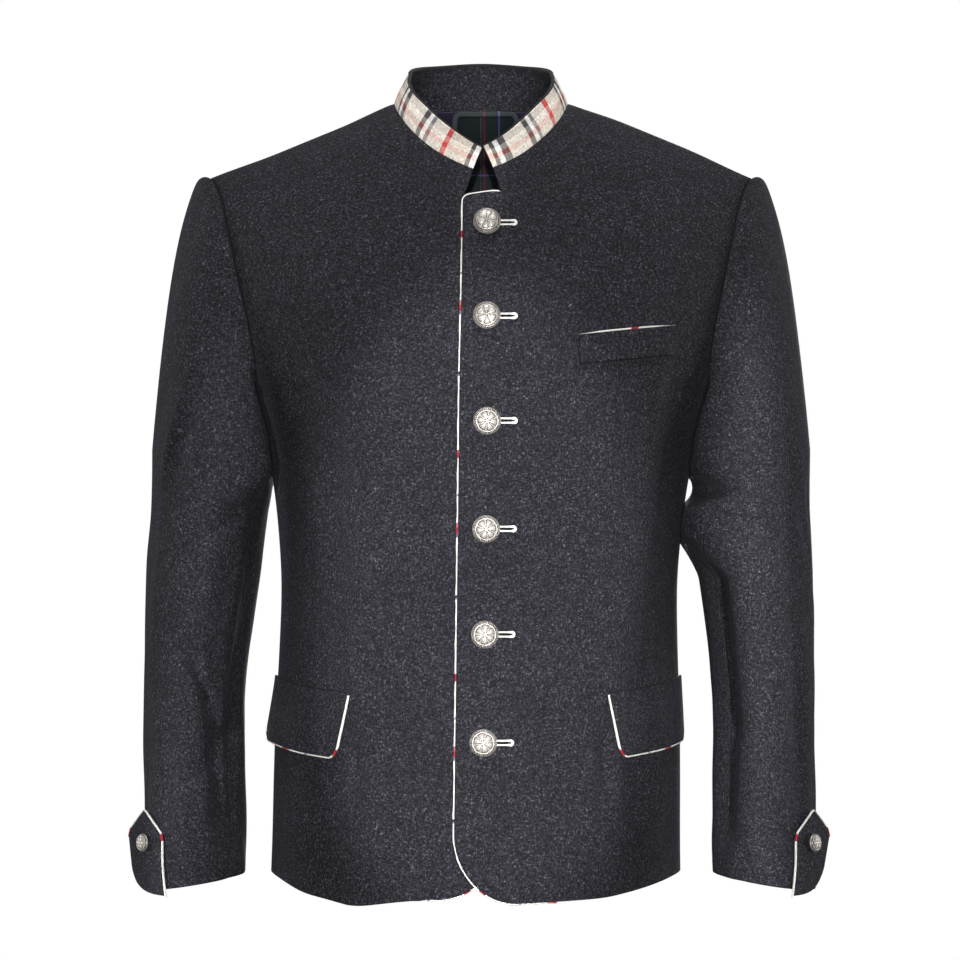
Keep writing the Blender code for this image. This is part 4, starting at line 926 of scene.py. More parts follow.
def collar_sheet(fronts, backs):
    """Rows from the neck seam up, from the right front's end round to the left's."""
    halves = {}
    for side in SIDES:
        front = fronts[side].grid()[COLLAR_ROW:, LAP_COLUMNS]
        back = backs[side].grid()[TOP_ROW - 1:BACK_NECK_ROW - 1:-1, 0]
        halves[side] = np.concatenate([front, back])
    seam = np.concatenate([halves[-1], halves[1][-2::-1]])
    lengths = path_run(seam)
    along = lengths / lengths[-1]
    share = 1 - np.abs(2 * along - 1)
    to_axis = unit(stacked(-seam[:, 0], NECK_AXIS_Y - seam[:, 1], 0.0))
    step = unit(np.concatenate([seam[1:], seam[-1:]]) - np.concatenate([seam[:1], seam[:-1]]))
    to_front = step * np.where(along < 0.5, -1.0, 1.0)[:, None]
    rise, lean, slant = (read(COLLAR, column, share)[:, None] for column in (1, 2, 3))
    top = seam + np.array([0.0, 0.0, 1.0]) * rise + to_axis * lean + to_front * slant
    t = shares(COLLAR_ROWS)[:, None, None]
    points = seam * (1 - t) + top * t - to_axis * (4 * COLLAR_BULGE * t * (1 - t))
    tall = np.linalg.norm(top - seam, axis=1)
    return Sheet(points, flip=True, uv=stacked(lengths, t[:, :, 0] * tall))


def strip(sheet, path, section, start=0.0, size=1.0, uneven=0.0):
    """A strip along a rim; section holds (out along the normal, out past the rim)."""
    place, normal, outward = sheet.points[path], sheet.normals[path], -rim(sheet)[2][path]
    along = path_run(place)
    first, second = (np.sin(along * turn + k) for k, turn in enumerate(UNEVEN_TURNS))
    size = (size * (1 + uneven * (first + UNEVEN_SECOND * second)))[:, None]
    rings = [place + normal * out + outward * (past * size) for out, past in section]
    return tube_data(np.stack(rings, axis=1), start)


def squared(values, power):
    return np.sign(values) * np.abs(values) ** power


def hanger_loop():
    """A padded loop over the lining at the neck, sewn down at both ends."""
    level = np.array([LEVELS[BACK_NECK_ROW]])
    stand = CLOTH + GAP + LINING_CLOTH + 2 * CLEAR
    top = body_surface(1, np.zeros(1), level)[0]
    half = [(LOOP_HALF_SPAN, -LOOP_DROP + k * (LOOP_DROP - LOOP_BEND) / 3) for k in range(3)]
    half += [(LOOP_HALF_SPAN - LOOP_BEND * (1 - math.cos(t)), -LOOP_BEND * (1 - math.sin(t)))
             for t in quarter_turn(LOOP_BEND_STEPS)]
    reach = LOOP_HALF_SPAN - LOOP_BEND
    flat = [(x, 0.0) for x in np.linspace(reach, -reach, LOOP_FLAT_STEPS + 1)[1:-1]]
    path = np.array(half + flat + [(-x, z) for x, z in reversed(half)])
    along = unit(np.gradient(path, axis=0))
    across = stacked(-along[:, 1], 0.0, along[:, 0])
    x = path[:, 0] + LOOP_X
    y = depth(1, level) * oval(np.abs(x) / NECK_HALF_WIDTH, BACK_NECK_ROUND) - stand
    centre = stacked(x, y - LOOP_THICK / 2, top[2] + LOOP_RISE + path[:, 1])
    turn = circle(ROUND_STEPS)
    wide = squared(np.cos(turn), LOOP_SQUARE) * LOOP_WIDTH / 2
    thick = squared(np.sin(turn), LOOP_SQUARE) * LOOP_THICK / 2
    return tube_data(centre[:, None] + across[:, None] * wide[:, None]
                     + np.array([0.0, 1.0, 0.0]) * thick[:, None])


# ---------------------------------------------------------------- pockets and piping
FLAP_FRONT_X, FLAP_FRONT_Z, FLAP_REAR_Z = 0.1075, -0.5035, -0.4950
FLAP_REAR_ANGLE = 86.0
FLAP_HEIGHT, FLAP_SLANT, FLAP_LENGTH, FLAP_CORNER = 0.0550, 0.0085, 0.155, 0.0100
FLAP_COLUMNS, FLAP_ROWS, FLAP_CORNER_STEPS = 46, 16, 8
FLAP_LIFT_FRONT, FLAP_LIFT_REAR = 0.0020, {-1: 0.0050, 1: 0.0010}
FLAP_LIFT_ALONG, FLAP_LIFT_DOWN = 1.5, 1.3
WELT_X, WELT_Z = (0.0810, 0.1630), (-0.2050, -0.1960)
WELT_HEIGHT, WELT_CLOTH, WELT_LIFT = 0.0258, 0.0016, 0.0019
WELT_TAPER, WELT_FULL, WELT_FADE = 0.12, 1.15, 0.30
WELT_COLUMNS, WELT_ROWS = 24, 8
PIPING_WIDTH, PIPING_START, PIPING_SQUARE = 0.00135, -0.0002, 0.8
HEM_PIPING = {1: 0.031, -1: 0.004}
# How much the front edge's piping swells and thins along its way.
UNEVEN, UNEVEN_TURNS, UNEVEN_SECOND = 0.14, (310.0, 137.0), 0.7
PIPING_SHIFT = -0.016  # brings its coloured threads as far down as on the jacket
EDGE_PIPING = (0.9 * CLOTH, 0.05 * CLOTH)  # thickness, distance below the cloth's face


def piping_section(thickness=CLOTH, top=0.0):
    """A flattened round section that lies beside an edge."""
    turn = circle(ROUND_STEPS)
    wide, tall = (squared(way(turn), PIPING_SQUARE) for way in (np.cos, np.sin))
    return list(zip(0.5 * thickness * (tall - 1) - top,
                    PIPING_START + 0.5 * PIPING_WIDTH * (1 + wide)))


def flap_sheet(side):
    """A hip pocket flap, sewn at its top, standing off the front towards its rear corner."""
    level = bisect(0.0, 2.0, (1,), lambda each: height_at(-1, FLAP_FRONT_X, each) - FLAP_FRONT_Z)
    start = float(angle_of(-1, FLAP_FRONT_X, level)[0])
    corner = FLAP_CORNER / FLAP_LENGTH
    rounded = [corner * (1 - math.cos(turn)) for turn in quarter_turn(FLAP_CORNER_STEPS)[1:-1]]
    share = np.array(sorted([0.0, *rounded, *np.linspace(corner, 1 - corner, FLAP_COLUMNS),
                             *(1 - each for each in rounded), 1.0]))
    inside = np.minimum(np.minimum(share, 1 - share) * FLAP_LENGTH, FLAP_CORNER)
    down = shares(FLAP_ROWS)[:, None]
    top_z = mix(FLAP_FRONT_Z, FLAP_REAR_Z, share)
    z = top_z - (FLAP_HEIGHT - round_corner(FLAP_CORNER, inside)) * down
    slant = FLAP_SLANT / FLAP_FRONT_X * (1 - share) * (top_z - z) / FLAP_HEIGHT
    angle = mix(start, math.radians(FLAP_REAR_ANGLE), share) + slant
    stand = mix(FLAP_LIFT_FRONT, FLAP_LIFT_REAR[side], share**FLAP_LIFT_ALONG)
    lift = CLOTH + CLEAR + stand * down**FLAP_LIFT_DOWN

    def above(each):
        x = half_width(-1, each) * np.abs(np.sin(angle)) ** (2 / ROUNDNESS)
        return height_at(-1, x, each) - z

    levels = bisect(0.0, 1.0, z.shape, above)
    points = body_surface(-1, side * angle, levels, 0, lift, creases=False)
    # its top seam gets painted seam shade from this distance
    return Sheet(points, flip=side > 0, uv=seam_marks([run(points, 0)]))


def edge_path(sheet, corners):
    """Point numbers along grid lines through these (row, column) corners."""
    path = [corners[0]]
    for (row, column), (next_row, next_column) in zip(corners, corners[1:]):
        steps = max(abs(next_row - row), abs(next_column - column))
        path += [(row + (next_row - row) * k // steps, column + (next_column - column) * k // steps)
                 for k in range(1, steps + 1)]
    return np.array([row * sheet.shape[1] + column for row, column in path])


def welt_sheet():
    share, down = shares(WELT_COLUMNS), shares(WELT_ROWS)[:, None]
    z = mix(*WELT_Z, share) - WELT_HEIGHT * down
    points = front_surface(1, mix(*WELT_X, share), z, WELT_LIFT)
    # its front edge and lower edge get painted seam shade from these distances
    return Sheet(points, flip=True, uv=seam_marks([run(points, 1), run(points, 0, True)]))


# ---------------------------------------------------------------- buttons
BUTTON_HEIGHTS = (-0.1110, -0.1900, -0.2770, -0.3670, -0.4550, -0.5450)
BUTTON_X, BUTTON_TURN = 0.0050, 0.3
BUTTON_RADIUS, CUFF_BUTTON_RADIUS, SHANK_RADIUS = 0.0115, 0.0076, 0.0014
LIP_START, LIP_END, LIP_WIDTH, LIP_THICK = 0.0045, 0.0256, 0.0015, 0.0011
LIP_GAP, LIP_END_SIZE, LIP_SWELL = 0.00105, 1.6, 0.003
LIP_STEPS, LIP_END_STEPS = 11, 8
LIP_STAND, SLIT_STAND = 0.62, 0.25  # heights of the middles, in the lip's thickness
SLIT_WIDE, SLIT_THICK, SLIT_STEPS = 1.4, 0.0002, 7
SHANK_TOP = 0.05  # in the button's radius
FRAME_STEP = 0.004
SLIT_SHADE_THREAD = 0.1692  # where the piping's darkest thread lies; the buttonhole's dark strip takes it as painted shade
BUTTON_SIDE = (
    # radius and height as shares of the button's radius, from the underside's foot to its rim
    (0.20, 0.06),
    (0.60, 0.02),
    (0.84, 0.03),
    (0.95, 0.09),
    (1.00, 0.17),
)
DOME_RINGS, DOME_SEGMENTS = 26, 96
RIM_SHARE, DOME_CROWDING = 0.995, 0.8
DOME_FOOT, DOME_RISE, DOME_POWER = 0.20, 0.36, 1.15
RELIEF = (
    # distance from the middle, half width, power of the fall, height
    (0.91, 0.045, 2, 0.030),  # rope
    (0.79, 0.022, 2, 0.022),  # ring
    (0.84, 0.020, 2, -0.018),  # groove
    (0.47, 0.190, 4, 0.052),  # petals
    (0.45, 0.160, 4, -0.014),  # veins
    (0.17, 0.060, 2, 0.034),  # beads
    (0.00, 0.070, 2, 0.040),  # the middle bead
)
ROPE_STRANDS, ROPE_SLANT = 40, 22
PETALS, PETAL_GAP, PETAL_POWER, VEIN_WIDTH, BEAD_CUT = 6, 0.12, 0.6, 0.16, 0.9


def dome_height(share, turn):
    """The dome and its relief, in its radius: rope rim, ring, six-petalled flower, beads."""
    rope, ring, groove, petal, vein, bead, middle = (
        height * np.exp(-(((share - at) / half) ** power)) for at, half, power, height in RELIEF)
    half_turn = PETALS / 2 * turn
    rope = rope * (0.5 + 0.5 * np.sin(ROPE_STRANDS * turn + ROPE_SLANT * share))
    petal = petal * np.maximum(np.cos(half_turn) ** 2 - PETAL_GAP, 0.0) ** PETAL_POWER
    vein = vein * swell(np.sin(half_turn), 0.0, VEIN_WIDTH)
    bead = bead * mix(1 - BEAD_CUT, 1.0, 0.5 + 0.5 * np.cos(PETALS * turn)) + middle
    relief = rope + ring + groove + petal + vein + bead
    dome = DOME_FOOT + DOME_RISE * np.sqrt(np.maximum(1 - share**2, 0.0)) ** DOME_POWER
    return dome + relief, relief


def button_data(centre, normal, radius, shank_end, turn_by=0.0):
    """A domed button with its shank; uv's second value is the height of its relief."""
    side = unit(np.cross(normal, (0.0, 0.0, 1.0)))
    other = np.cross(normal, side)
    turn = circle(DOME_SEGMENTS)
    shank = SHANK_RADIUS / radius
    rows = [(share, np.full(DOME_SEGMENTS, height), np.zeros(DOME_SEGMENTS))
            for share, height in ((shank, shank_end / radius), (shank, SHANK_TOP), *BUTTON_SIDE)]
    for k in range(DOME_RINGS):
        share = RIM_SHARE * math.cos(math.pi / 2 * k / DOME_RINGS) ** DOME_CROWDING
        rows.append((share, *dome_height(share, turn)))
    across = np.outer(np.cos(turn + turn_by), side) + np.outer(np.sin(turn + turn_by), other)
    rings = [centre + radius * (share * across + np.outer(height, normal))
             for share, height, _ in rows]
    vertices, faces, uv = tube_data(np.stack(rings))
    uv[:, 1] = np.concatenate([relief for _, _, relief in rows])
    return vertices, faces, uv


def front_frame(side, x, z):
    """A point on a front with its normal, and the directions across and up in the surface."""
    steps = np.array([(0, 0), (1, 0), (-1, 0), (0, 1), (0, -1)]) * FRAME_STEP
    centre, right, left, upper, lower = front_surface(side, x + steps[:, 0], z + steps[:, 1])
    across = unit(right - left)
    normal = unit(np.cross(across, unit(upper - lower)))
    return centre, normal, across, np.cross(normal, across)


def lip_data(centre, normal, across, up):
    """A bound buttonhole: the folded lip out, round its end and back, and a dark strip inside as
    painted shade in the slit.
    """
    half = LIP_GAP + LIP_WIDTH / 2
    end = LIP_END - LIP_WIDTH * LIP_END_SIZE / 2 - half
    out = [(x, half) for x in np.linspace(LIP_START, end, LIP_STEPS + 1)[:-1]]
    turns = [math.pi * (0.5 - k / LIP_END_STEPS) for k in range(LIP_END_STEPS + 1)]
    path = np.array(out + [(end + half * math.cos(t), half * math.sin(t)) for t in turns]
                    + [(x, -y) for x, y in reversed(out)])
    size = mix(1.0, LIP_END_SIZE, ease((path[:, 0] - end) / LIP_SWELL + 1))
    turn = circle(ROUND_STEPS)

    def section(x, y, stand, outward, wide, thick):
        middle = centre + across * x + up * y + normal * (LIP_THICK * stand)
        return (middle + np.outer(np.cos(turn) * wide, outward)
                + np.outer(np.sin(turn) * thick, normal))

    lip = [section(x, y, LIP_STAND, dx * up - dy * across, LIP_WIDTH / 2 * wide, LIP_THICK / 2)
           for (x, y), (dx, dy), wide in zip(path, unit(np.gradient(path, axis=0)), size)]
    slit_shade = [section(x, 0.0, SLIT_STAND, up, LIP_GAP * SLIT_WIDE, SLIT_THICK)
            for x in np.linspace(LIP_START, end + half, SLIT_STEPS + 1)]
    vertices, faces, uv = tube_data(slit_shade)
    # the strip takes the piping's darkest thread: painted shade in the slit between the lips
    uv[:] = (SLIT_SHADE_THREAD, 0.0)
    return [tube_data(lip), (vertices, faces, uv)]


# ---------------------------------------------------------------- cuff tabs
TAB_FRONT, TAB_REAR = np.array([0.2672, -0.0905]), np.array([0.2985, -0.0560])
TAB_LEAN, TAB_BOW = 0.13, 0.0015
TAB_BOTTOM_Z, TAB_SHOULDER_Z, TAB_TIP_Z = -0.6770, -0.6280, -0.6080
TAB_REAR_RISE = 0.0070
TAB_ROUND, TAB_CORNER_FALL, TAB_CORNER_POWER = 0.12, 0.22, 2.5
TAB_POINT = 0.05  # keeps its point from being sharp
TAB_FRONT_IN, TAB_REAR_IN = 0.17, {-1: 0.16, 1: 0.26}
TAB_IN_FROM, TAB_IN_POWER = 0.25, 1.5
TAB_TUCK, TAB_TUCK_FROM = 0.0040, 0.6
TAB_BUTTON_Z = -0.6350
TAB_COLUMNS, TAB_ROWS = 20, 24


def tab_surface(side, across, down):
    """Points of a cuff tab's face; across runs from its front edge, down from its top."""
    across, down = as_grids(across, down)
    out = unit(np.array([TAB_REAR[1] - TAB_FRONT[1], TAB_FRONT[0] - TAB_REAR[0]]))
    fall = np.abs(2 * across - 1)
    corner = np.maximum(fall - 1 + TAB_ROUND, 0.0) / TAB_ROUND
    peak = mix(TAB_TIP_Z, TAB_SHOULDER_Z, np.hypot(fall, TAB_POINT) - TAB_POINT
               + TAB_CORNER_FALL * corner**TAB_CORNER_POWER)
    z = mix(peak, TAB_BOTTOM_Z + TAB_REAR_RISE * across**3, down)
    tuck = np.maximum((down - TAB_TUCK_FROM) / (1 - TAB_TUCK_FROM), 0.0) ** 2 * across**2
    bow = TAB_BOW * np.sin(math.pi * across) - TAB_TUCK * tuck
    inward = (TAB_FRONT_IN * (1 - across) * np.maximum(down - TAB_IN_FROM, 0.0) ** TAB_IN_POWER
              + TAB_REAR_IN[side] * across * down)
    plan = mix(TAB_FRONT, TAB_REAR, (across - inward)[..., None]) + out * bow[..., None]
    return stacked(side * (plan[..., 0] + SLEEVE_SPREAD[side]),
                   plan[..., 1] + TAB_LEAN * (z - TAB_BOTTOM_Z), z)


def tab_sheet(side):
    down = shares(TAB_ROWS)[:, None]
    return Sheet(tab_surface(side, shares(TAB_COLUMNS), down), flip=side > 0)


def tab_button(side):
    down = (TAB_BUTTON_Z - TAB_TIP_Z) / (TAB_BOTTOM_Z - TAB_TIP_Z)
    front, rear, upper, lower, centre = tab_surface(
        side, [0.0, 1.0, 0.5, 0.5, 0.5], [down, down, 0.0, TAB_TUCK_FROM, down])
    normal = unit(np.cross(rear - front, upper - lower)) * side
    return centre + normal * 3 * GAP, normal


# ---------------------------------------------------------------- materials
NOISE_LOW, NOISE_HIGH = 0.28, 0.72  # between which nearly all of a noise lies
BUMP_STRENGTH, SHEEN_ROUGHNESS = 0.6, 0.5
WHITE = (1.0, 1.0, 1.0, 1.0)
NOISES = {
    # cycles a metre, detail, roughness, lowest value, highest value
    "fleck": (640.0, 1.0, 0.5, 0.0, 1.0),
    "hair": (900.0, 1.0, 0.5, 0.0, 1.0),
    "cross_hair": (820.0, 1.0, 0.5, 0.0, 1.0),
    "mottle": (75.0, 3.0, 0.55, 0.0, 1.0),
    "broad": (9.0, 2.0, 0.5, 0.0, 1.0),
    "blue": (150.0, 2.0, 0.6, 0.0, 1.0),
    "violet": (120.0, 2.0, 0.6, -0.8, 1.0),
    "check_wobble": (120.0, 2.0, 0.5, -0.0004, 0.0004),
    "check_slub": (700.0, 2.0, 0.6, 0.62, 1.20),
    "piping_wobble": (400.0, 2.0, 0.5, -0.0003, 0.0003),
    "piping_slub": (1100.0, 2.0, 0.6, 0.74, 1.14),
    "braid": (800.0, 2.0, 0.6, 0.0, 1.0),
    "satin": (40.0, 2.0, 0.5, 0.0, 1.0),
    "satin_thread": (1200.0, 2.0, 0.6, 0.80, 1.15),
    "wear": (700.0, 3.0, 0.6, 0.80, 1.04),
    "floor": (6.0, 3.0, 0.5, 0.0, 1.0),
}
FINISHES = {
    # share and base of the roughness, depths of the bumps, specular, sheen, metallic
    "loden": ((0.10, 0.84), (0.0005, 0.0004, 0.00016), 0.16, 0.03, 0.0),
    "check": ((0.10, 0.76), (0.0002, 0.00025), 0.30, 0.0, 0.0),
    "piping": ((0.10, 0.74), (0.0001, 0.0002), 0.30, 0.0, 0.0),
    "binding": ((0.12, 0.74), (0.00015, 0.0002), 0.25, 0.1, 0.0),
    "lining": ((0.08, 0.58), (0.0001, 0.0001), 0.35, 0.1, 0.0),
    "pewter": ((-0.30, 0.66), (0.00008,), 0.50, 0.0, 0.30),
    "floor": ((0.0, 0.90), (), 0.10, 0.0, 0.0),
}


def add(tree, kind, inputs=(), **settings):
    """A node with its sockets, by name or number, set to a value or linked to an output."""
    made = tree.nodes.new("ShaderNode" + kind)
    for key, value in settings.items():
        setattr(made, key, value)
    for key, value in dict(inputs).items():
        socket = made.inputs[key]
        if isinstance(value, bpy.types.NodeSocket):
            tree.links.new(value, socket)
        else:
            socket.default_value = value
    return made


def linear(*srgb):
    """The colour that a material takes for these sRGB values of 0 to 255."""
    return (*(c / 255 / 12.92 if c <= 10 else ((c / 255 + 0.055) / 1.055) ** 2.4
              for c in srgb), 1.0)


class Look:
    """A material under way, with the steps that the cloths and metals here share."""

    def __init__(self, name):
        self.made = bpy.data.materials.new(name)
        self.made.use_nodes = True
        self.tree = self.made.node_tree
        self.tree.nodes.clear()
        sources = self.add("TexCoord").outputs
        self.place = sources["Object"]
        self.u, self.v = self.split(sources["UV"])[:2]

    def add(self, kind, inputs=(), **settings):
        return add(self.tree, kind, inputs, **settings)

    def split(self, vector):
        return [*self.add("SeparateXYZ", {0: vector}).outputs]

    def math(self, operation, a, b=0.0, c=0.0):
        return self.add("Math", {0: a, 1: b, 2: c}, operation=operation).outputs[0]

    def times(self, a, b, c=0.0):
        return self.math("MULTIPLY_ADD", a, b, c)

    def mapped(self, value, low, high, to_low=0.0, to_high=1.0, **settings):
        """A value moved from one range to another, and held inside it."""
        inputs = {0: value, 1: low, 2: high, 3: to_low, 4: to_high}
        return self.add("MapRange", inputs, **settings).outputs[0]

    def stretched(self, stretch, turn=(0.0, 0.0, 0.0)):
        inputs = {"Vector": self.place, "Rotation": turn, "Scale": stretch}
        return self.add("Mapping", inputs).outputs[0]

    def noise(self, name, place=None):
        scale, detail, roughness, low, high = NOISES[name]
        inputs = {"Vector": self.place if place is None else place, "Scale": scale,
                  "Detail": detail, "Roughness": roughness}
        found = self.add("TexNoise", inputs).outputs["Fac"]
        return self.mapped(found, NOISE_LOW, NOISE_HIGH, low, high)

    def blend(self, factor, a, b, kind="MIX"):
        inputs = {0: factor, 6: a, 7: b}  # by number: a Mix node has several inputs of a name
        return self.add("Mix", inputs, data_type="RGBA", blend_type=kind,
                        clamp_factor=True).outputs[2]

    def dimmed(self, colour, grey):
        """A colour multiplied by a value that may go past 1."""
        both = self.add("CombineColor", {0: grey, 1: grey, 2: grey}).outputs[0]
        return self.blend(1.0, colour, both, "MULTIPLY")

    def ramp(self, factor, stops, interpolation="LINEAR"):
        made = self.add("ValToRGB", {0: factor})
        made.color_ramp.interpolation = interpolation
        elements = made.color_ramp.elements
        while len(elements) < len(stops):
            elements.new(0.5)
        for element, (position, colour) in zip(elements, stops):
            element.position = position
            element.color = colour
        return made.outputs[0]

    def bands(self, along, sett):
        """Bands of one colour each; sett holds (width, colour) and repeats."""
        period = sum(width for width, _ in sett)
        stops, start = [], 0.0
        for width, colour in sett:
            stops.append((start / period, colour))
            start += width
        share = self.math("FRACT", self.math("DIVIDE", along, period))
        return self.ramp(share, stops, "CONSTANT")

    def woven(self, along, across, pitch):
        """Plain weave: a mask that says which thread is on top, and the cloth's height."""
        a, b = (self.math("SINE", self.math("MULTIPLY", way, math.pi / pitch))
                for way in (along, across))
        wave = self.math("MULTIPLY", a, b)
        return self.math("GREATER_THAN", wave, 0.0), self.math("ABSOLUTE", wave)

    def ribs(self, along, pitch):
        return self.math("SINE", self.math("MULTIPLY", along, 2 * math.pi / pitch))

    def shader(self, kind, colour, matt, *heights, sheen_tint=WHITE, glow=0.0):
        """A surface as rough as matt says, with the bumps of these heights, coarse first."""
        (share, base), depths, specular, sheen, metallic = FINISHES[kind]
        normal = {}
        for height, reach in zip(heights, depths):
            inputs = {"Height": height, "Distance": reach, "Strength": BUMP_STRENGTH}
            normal = {"Normal": self.add("Bump", inputs | normal).outputs[0]}
        return self.add("BsdfPrincipled", normal | {
            "Base Color": colour, "Roughness": self.times(matt, share, base), "Metallic": metallic,
            "Specular IOR Level": specular, "Sheen Weight": sheen,
            "Sheen Roughness": SHEEN_ROUGHNESS, "Sheen Tint": sheen_tint,
            "Emission Color": WHITE, "Emission Strength": glow}).outputs[0]

    def finish(self, shader):
        self.add("OutputMaterial", {0: shader})


LODEN_SHADES = (
    # amount, colour
    (0.00, linear(16, 16, 18)),
    (0.30, linear(28, 27, 31)),
    (0.50, linear(41, 40, 45)),
    (0.68, linear(60, 59, 66)),
    (0.84, linear(91, 92, 98)),
    (1.00, linear(128, 129, 135)),
)
LODEN_WEIGHTS = (0.34, 0.30, 0.26, 0.05, 0.04)  # fleck, hair, cross_hair, mottle, broad
LODEN_SPREAD = (0.13, 0.95)  # where their sum has the darkest and the lightest shade
FIBRES, CROSSED = ((1.0, 1.0, 0.40), (0.0, 0.6, 0.3)), ((0.40, 1.0, 1.0), (0.2, -0.9, 0.0))
BLUE_TONE, VIOLET_TONE = (0.50, (0.94, 1.00, 1.06, 1.0)), (0.35, (1.08, 0.97, 1.05, 1.0))
SEAM_SHADE_FADE, SEAM_SHADE = (0.0004, 0.0012), 0.72  # the distance over which the painted shade along seams fades, its strength
# painted shade along faint lines such as a facing's edge: the distance over which it fades, its
# strength
FAINT_SHADE_FADE, FAINT_SHADE = (0.0003, 0.0012), 0.28
NAP_TINT = (0.85, 0.88, 1.0, 1.0)
BLACK = linear(14, 14, 16)


def loden(look):
    """Fulled wool: matted fibres, flecked in blue-grey and violet-grey, with a soft nap and painted
    shade along its seams and faint lines.
    """
    fibres, crossed = look.stretched(*FIBRES), look.stretched(*CROSSED)
    fleck, mottle, broad = (look.noise(name) for name in ("fleck", "mottle", "broad"))
    hair, cross_hair = look.noise("hair", fibres), look.noise("cross_hair", crossed)
    amount = 0.0
    for layer, weight in zip((fleck, hair, cross_hair, mottle, broad), LODEN_WEIGHTS):
        amount = look.times(layer, weight, amount)
    colour = look.ramp(look.mapped(amount, *LODEN_SPREAD), LODEN_SHADES)
    for noise, (share, tone) in ((look.noise("blue"), BLUE_TONE),
                                 (look.noise("violet", fibres), VIOLET_TONE)):
        colour = look.blend(look.times(noise, share), colour, tone, "MULTIPLY")
    # painted shade: the cloth is darkened towards black along seams and faint lines, where the
    # seams and edges sink
    seam = look.mapped(look.u, *SEAM_SHADE_FADE, 1.0, 0.0)
    line = look.mapped(look.math("ABSOLUTE", look.v), *FAINT_SHADE_FADE, FAINT_SHADE, 0.0)
    colour = look.blend(look.math("MAXIMUM", look.times(seam, SEAM_SHADE), line), colour, BLACK)
    look.finish(look.shader("loden", colour, hair, look.math("SUBTRACT", 1.0, seam), mottle,
                            fleck, sheen_tint=NAP_TINT))


CREAM, CHALK, BEIGE = linear(240, 231, 219), linear(252, 250, 246), linear(233, 222, 207)
CHARCOAL, GREY = linear(34, 33, 38), linear(122, 118, 118)
RED, PINK = linear(214, 28, 32), linear(226, 128, 122)
WARP_SETT = (
    # width, colour; the threads that run up the collar
    (0.0230, CREAM), (0.0075, CHARCOAL), (0.0050, CHALK), (0.0040, CHARCOAL), (0.0215, BEIGE),
    (0.0048, RED), (0.0170, CREAM), (0.0040, GREY), (0.0050, CHALK), (0.0060, CHARCOAL),
)
WEFT_SETT = (
    # width, colour; the threads that run along it
    (0.0075, CREAM), (0.0050, PINK), (0.0060, CREAM), (0.0065, GREY), (0.0180, BEIGE),
)
PIPING_SETT = (
    # length, colour
    (0.0470, linear(248, 245, 240)), (0.0062, linear(186, 44, 52)),
    (0.0300, linear(244, 240, 234)), (0.0022, linear(150, 150, 152)),
    (0.0220, linear(248, 245, 240)), (0.0040, linear(205, 110, 108)),
    (0.0050, linear(190, 40, 48)), (0.0030, linear(98, 128, 132)),
    (0.0480, linear(246, 242, 236)), (0.0010, linear(120, 126, 130)),
    # this near-black thread also colours the buttonhole's dark strip, as painted shade in its slit
    (0.0016, linear(16, 16, 18)), (0.0012, linear(120, 126, 130)),
    (0.0150, linear(248, 245, 240)),
)


WARP_START = 0.0310
CHECK_PITCH, LINING_PITCH, BRAID_PITCH, TWILL_PITCH = 0.00075, 0.0006, 0.0011, 0.0009
CHECK_STRETCH, WEFT_SHARE = (1.0, 1.0, 0.3), (0.40, 0.10)
PIPING_SLANT, TWILL_SLANT = 0.0020, 0.0045
RIB_SHARE, RIB_GREY = 0.18, linear(38, 37, 41)


def check(look):
    """Slubbed linen check for the collar's outer face."""
    wobble = look.noise("check_wobble")
    u, v = (look.math("ADD", way, wobble) for way in (look.u, look.v))
    warp = look.bands(look.math("ADD", u, WARP_START), WARP_SETT)
    over, height = look.woven(u, v, CHECK_PITCH)
    colour = look.blend(look.times(over, *WEFT_SHARE), warp, look.bands(v, WEFT_SETT))
    slub = look.noise("check_slub", look.stretched(CHECK_STRETCH))
    look.finish(look.shader("check", look.dimmed(colour, slub), slub, slub, height))


def piping(look):
    """Bias-cut check folded over a cord: mostly off-white with short coloured dashes."""
    slant, wobble = look.times(look.v, PIPING_SLANT, look.u), look.noise("piping_wobble")
    colour = look.bands(look.math("ADD", slant, wobble), PIPING_SETT)
    twill = look.ribs(look.times(look.v, TWILL_SLANT, look.u), TWILL_PITCH)
    slub = look.noise("piping_slub")
    look.finish(look.shader("piping", look.dimmed(colour, slub), slub, twill, slub))


def binding(look):
    """Dark ribbed braid folded over the collar's top edge."""
    rib, fleck = look.ribs(look.u, BRAID_PITCH), look.noise("braid")
    colour = look.blend(look.times(rib, RIB_SHARE, fleck), BLACK, RIB_GREY)
    look.finish(look.shader("binding", colour, fleck, rib, fleck))


NAVY, PALE_NAVY, GREEN = linear(50, 44, 70), linear(46, 42, 60), linear(30, 40, 44)
DARK_RED, VIOLET = linear(118, 34, 54), linear(98, 84, 148)
LINING_X = (
    # centre, half_width, colour
    (0.0030, 0.0009, DARK_RED),
    (0.0160, 0.0008, VIOLET),
    (-0.0400, 0.0009, VIOLET),
    (0.0560, 0.0009, DARK_RED),
    (-0.0740, 0.0009, DARK_RED),
)
LINING_Z = (
    (-0.0530, 0.0008, VIOLET),
    (-0.0900, 0.0009, DARK_RED),
    (-0.1200, 0.0008, VIOLET),
)
PANEL_X, PANEL_HALF, PANEL_SPREAD, PANEL_TOP_Z, PANEL_EDGE = 0.0040, 0.0270, 0.10, -0.003, 0.0008
SATIN_SHARE, LINE_CORE, LINE_STRENGTH = 0.6, 0.6, 0.85


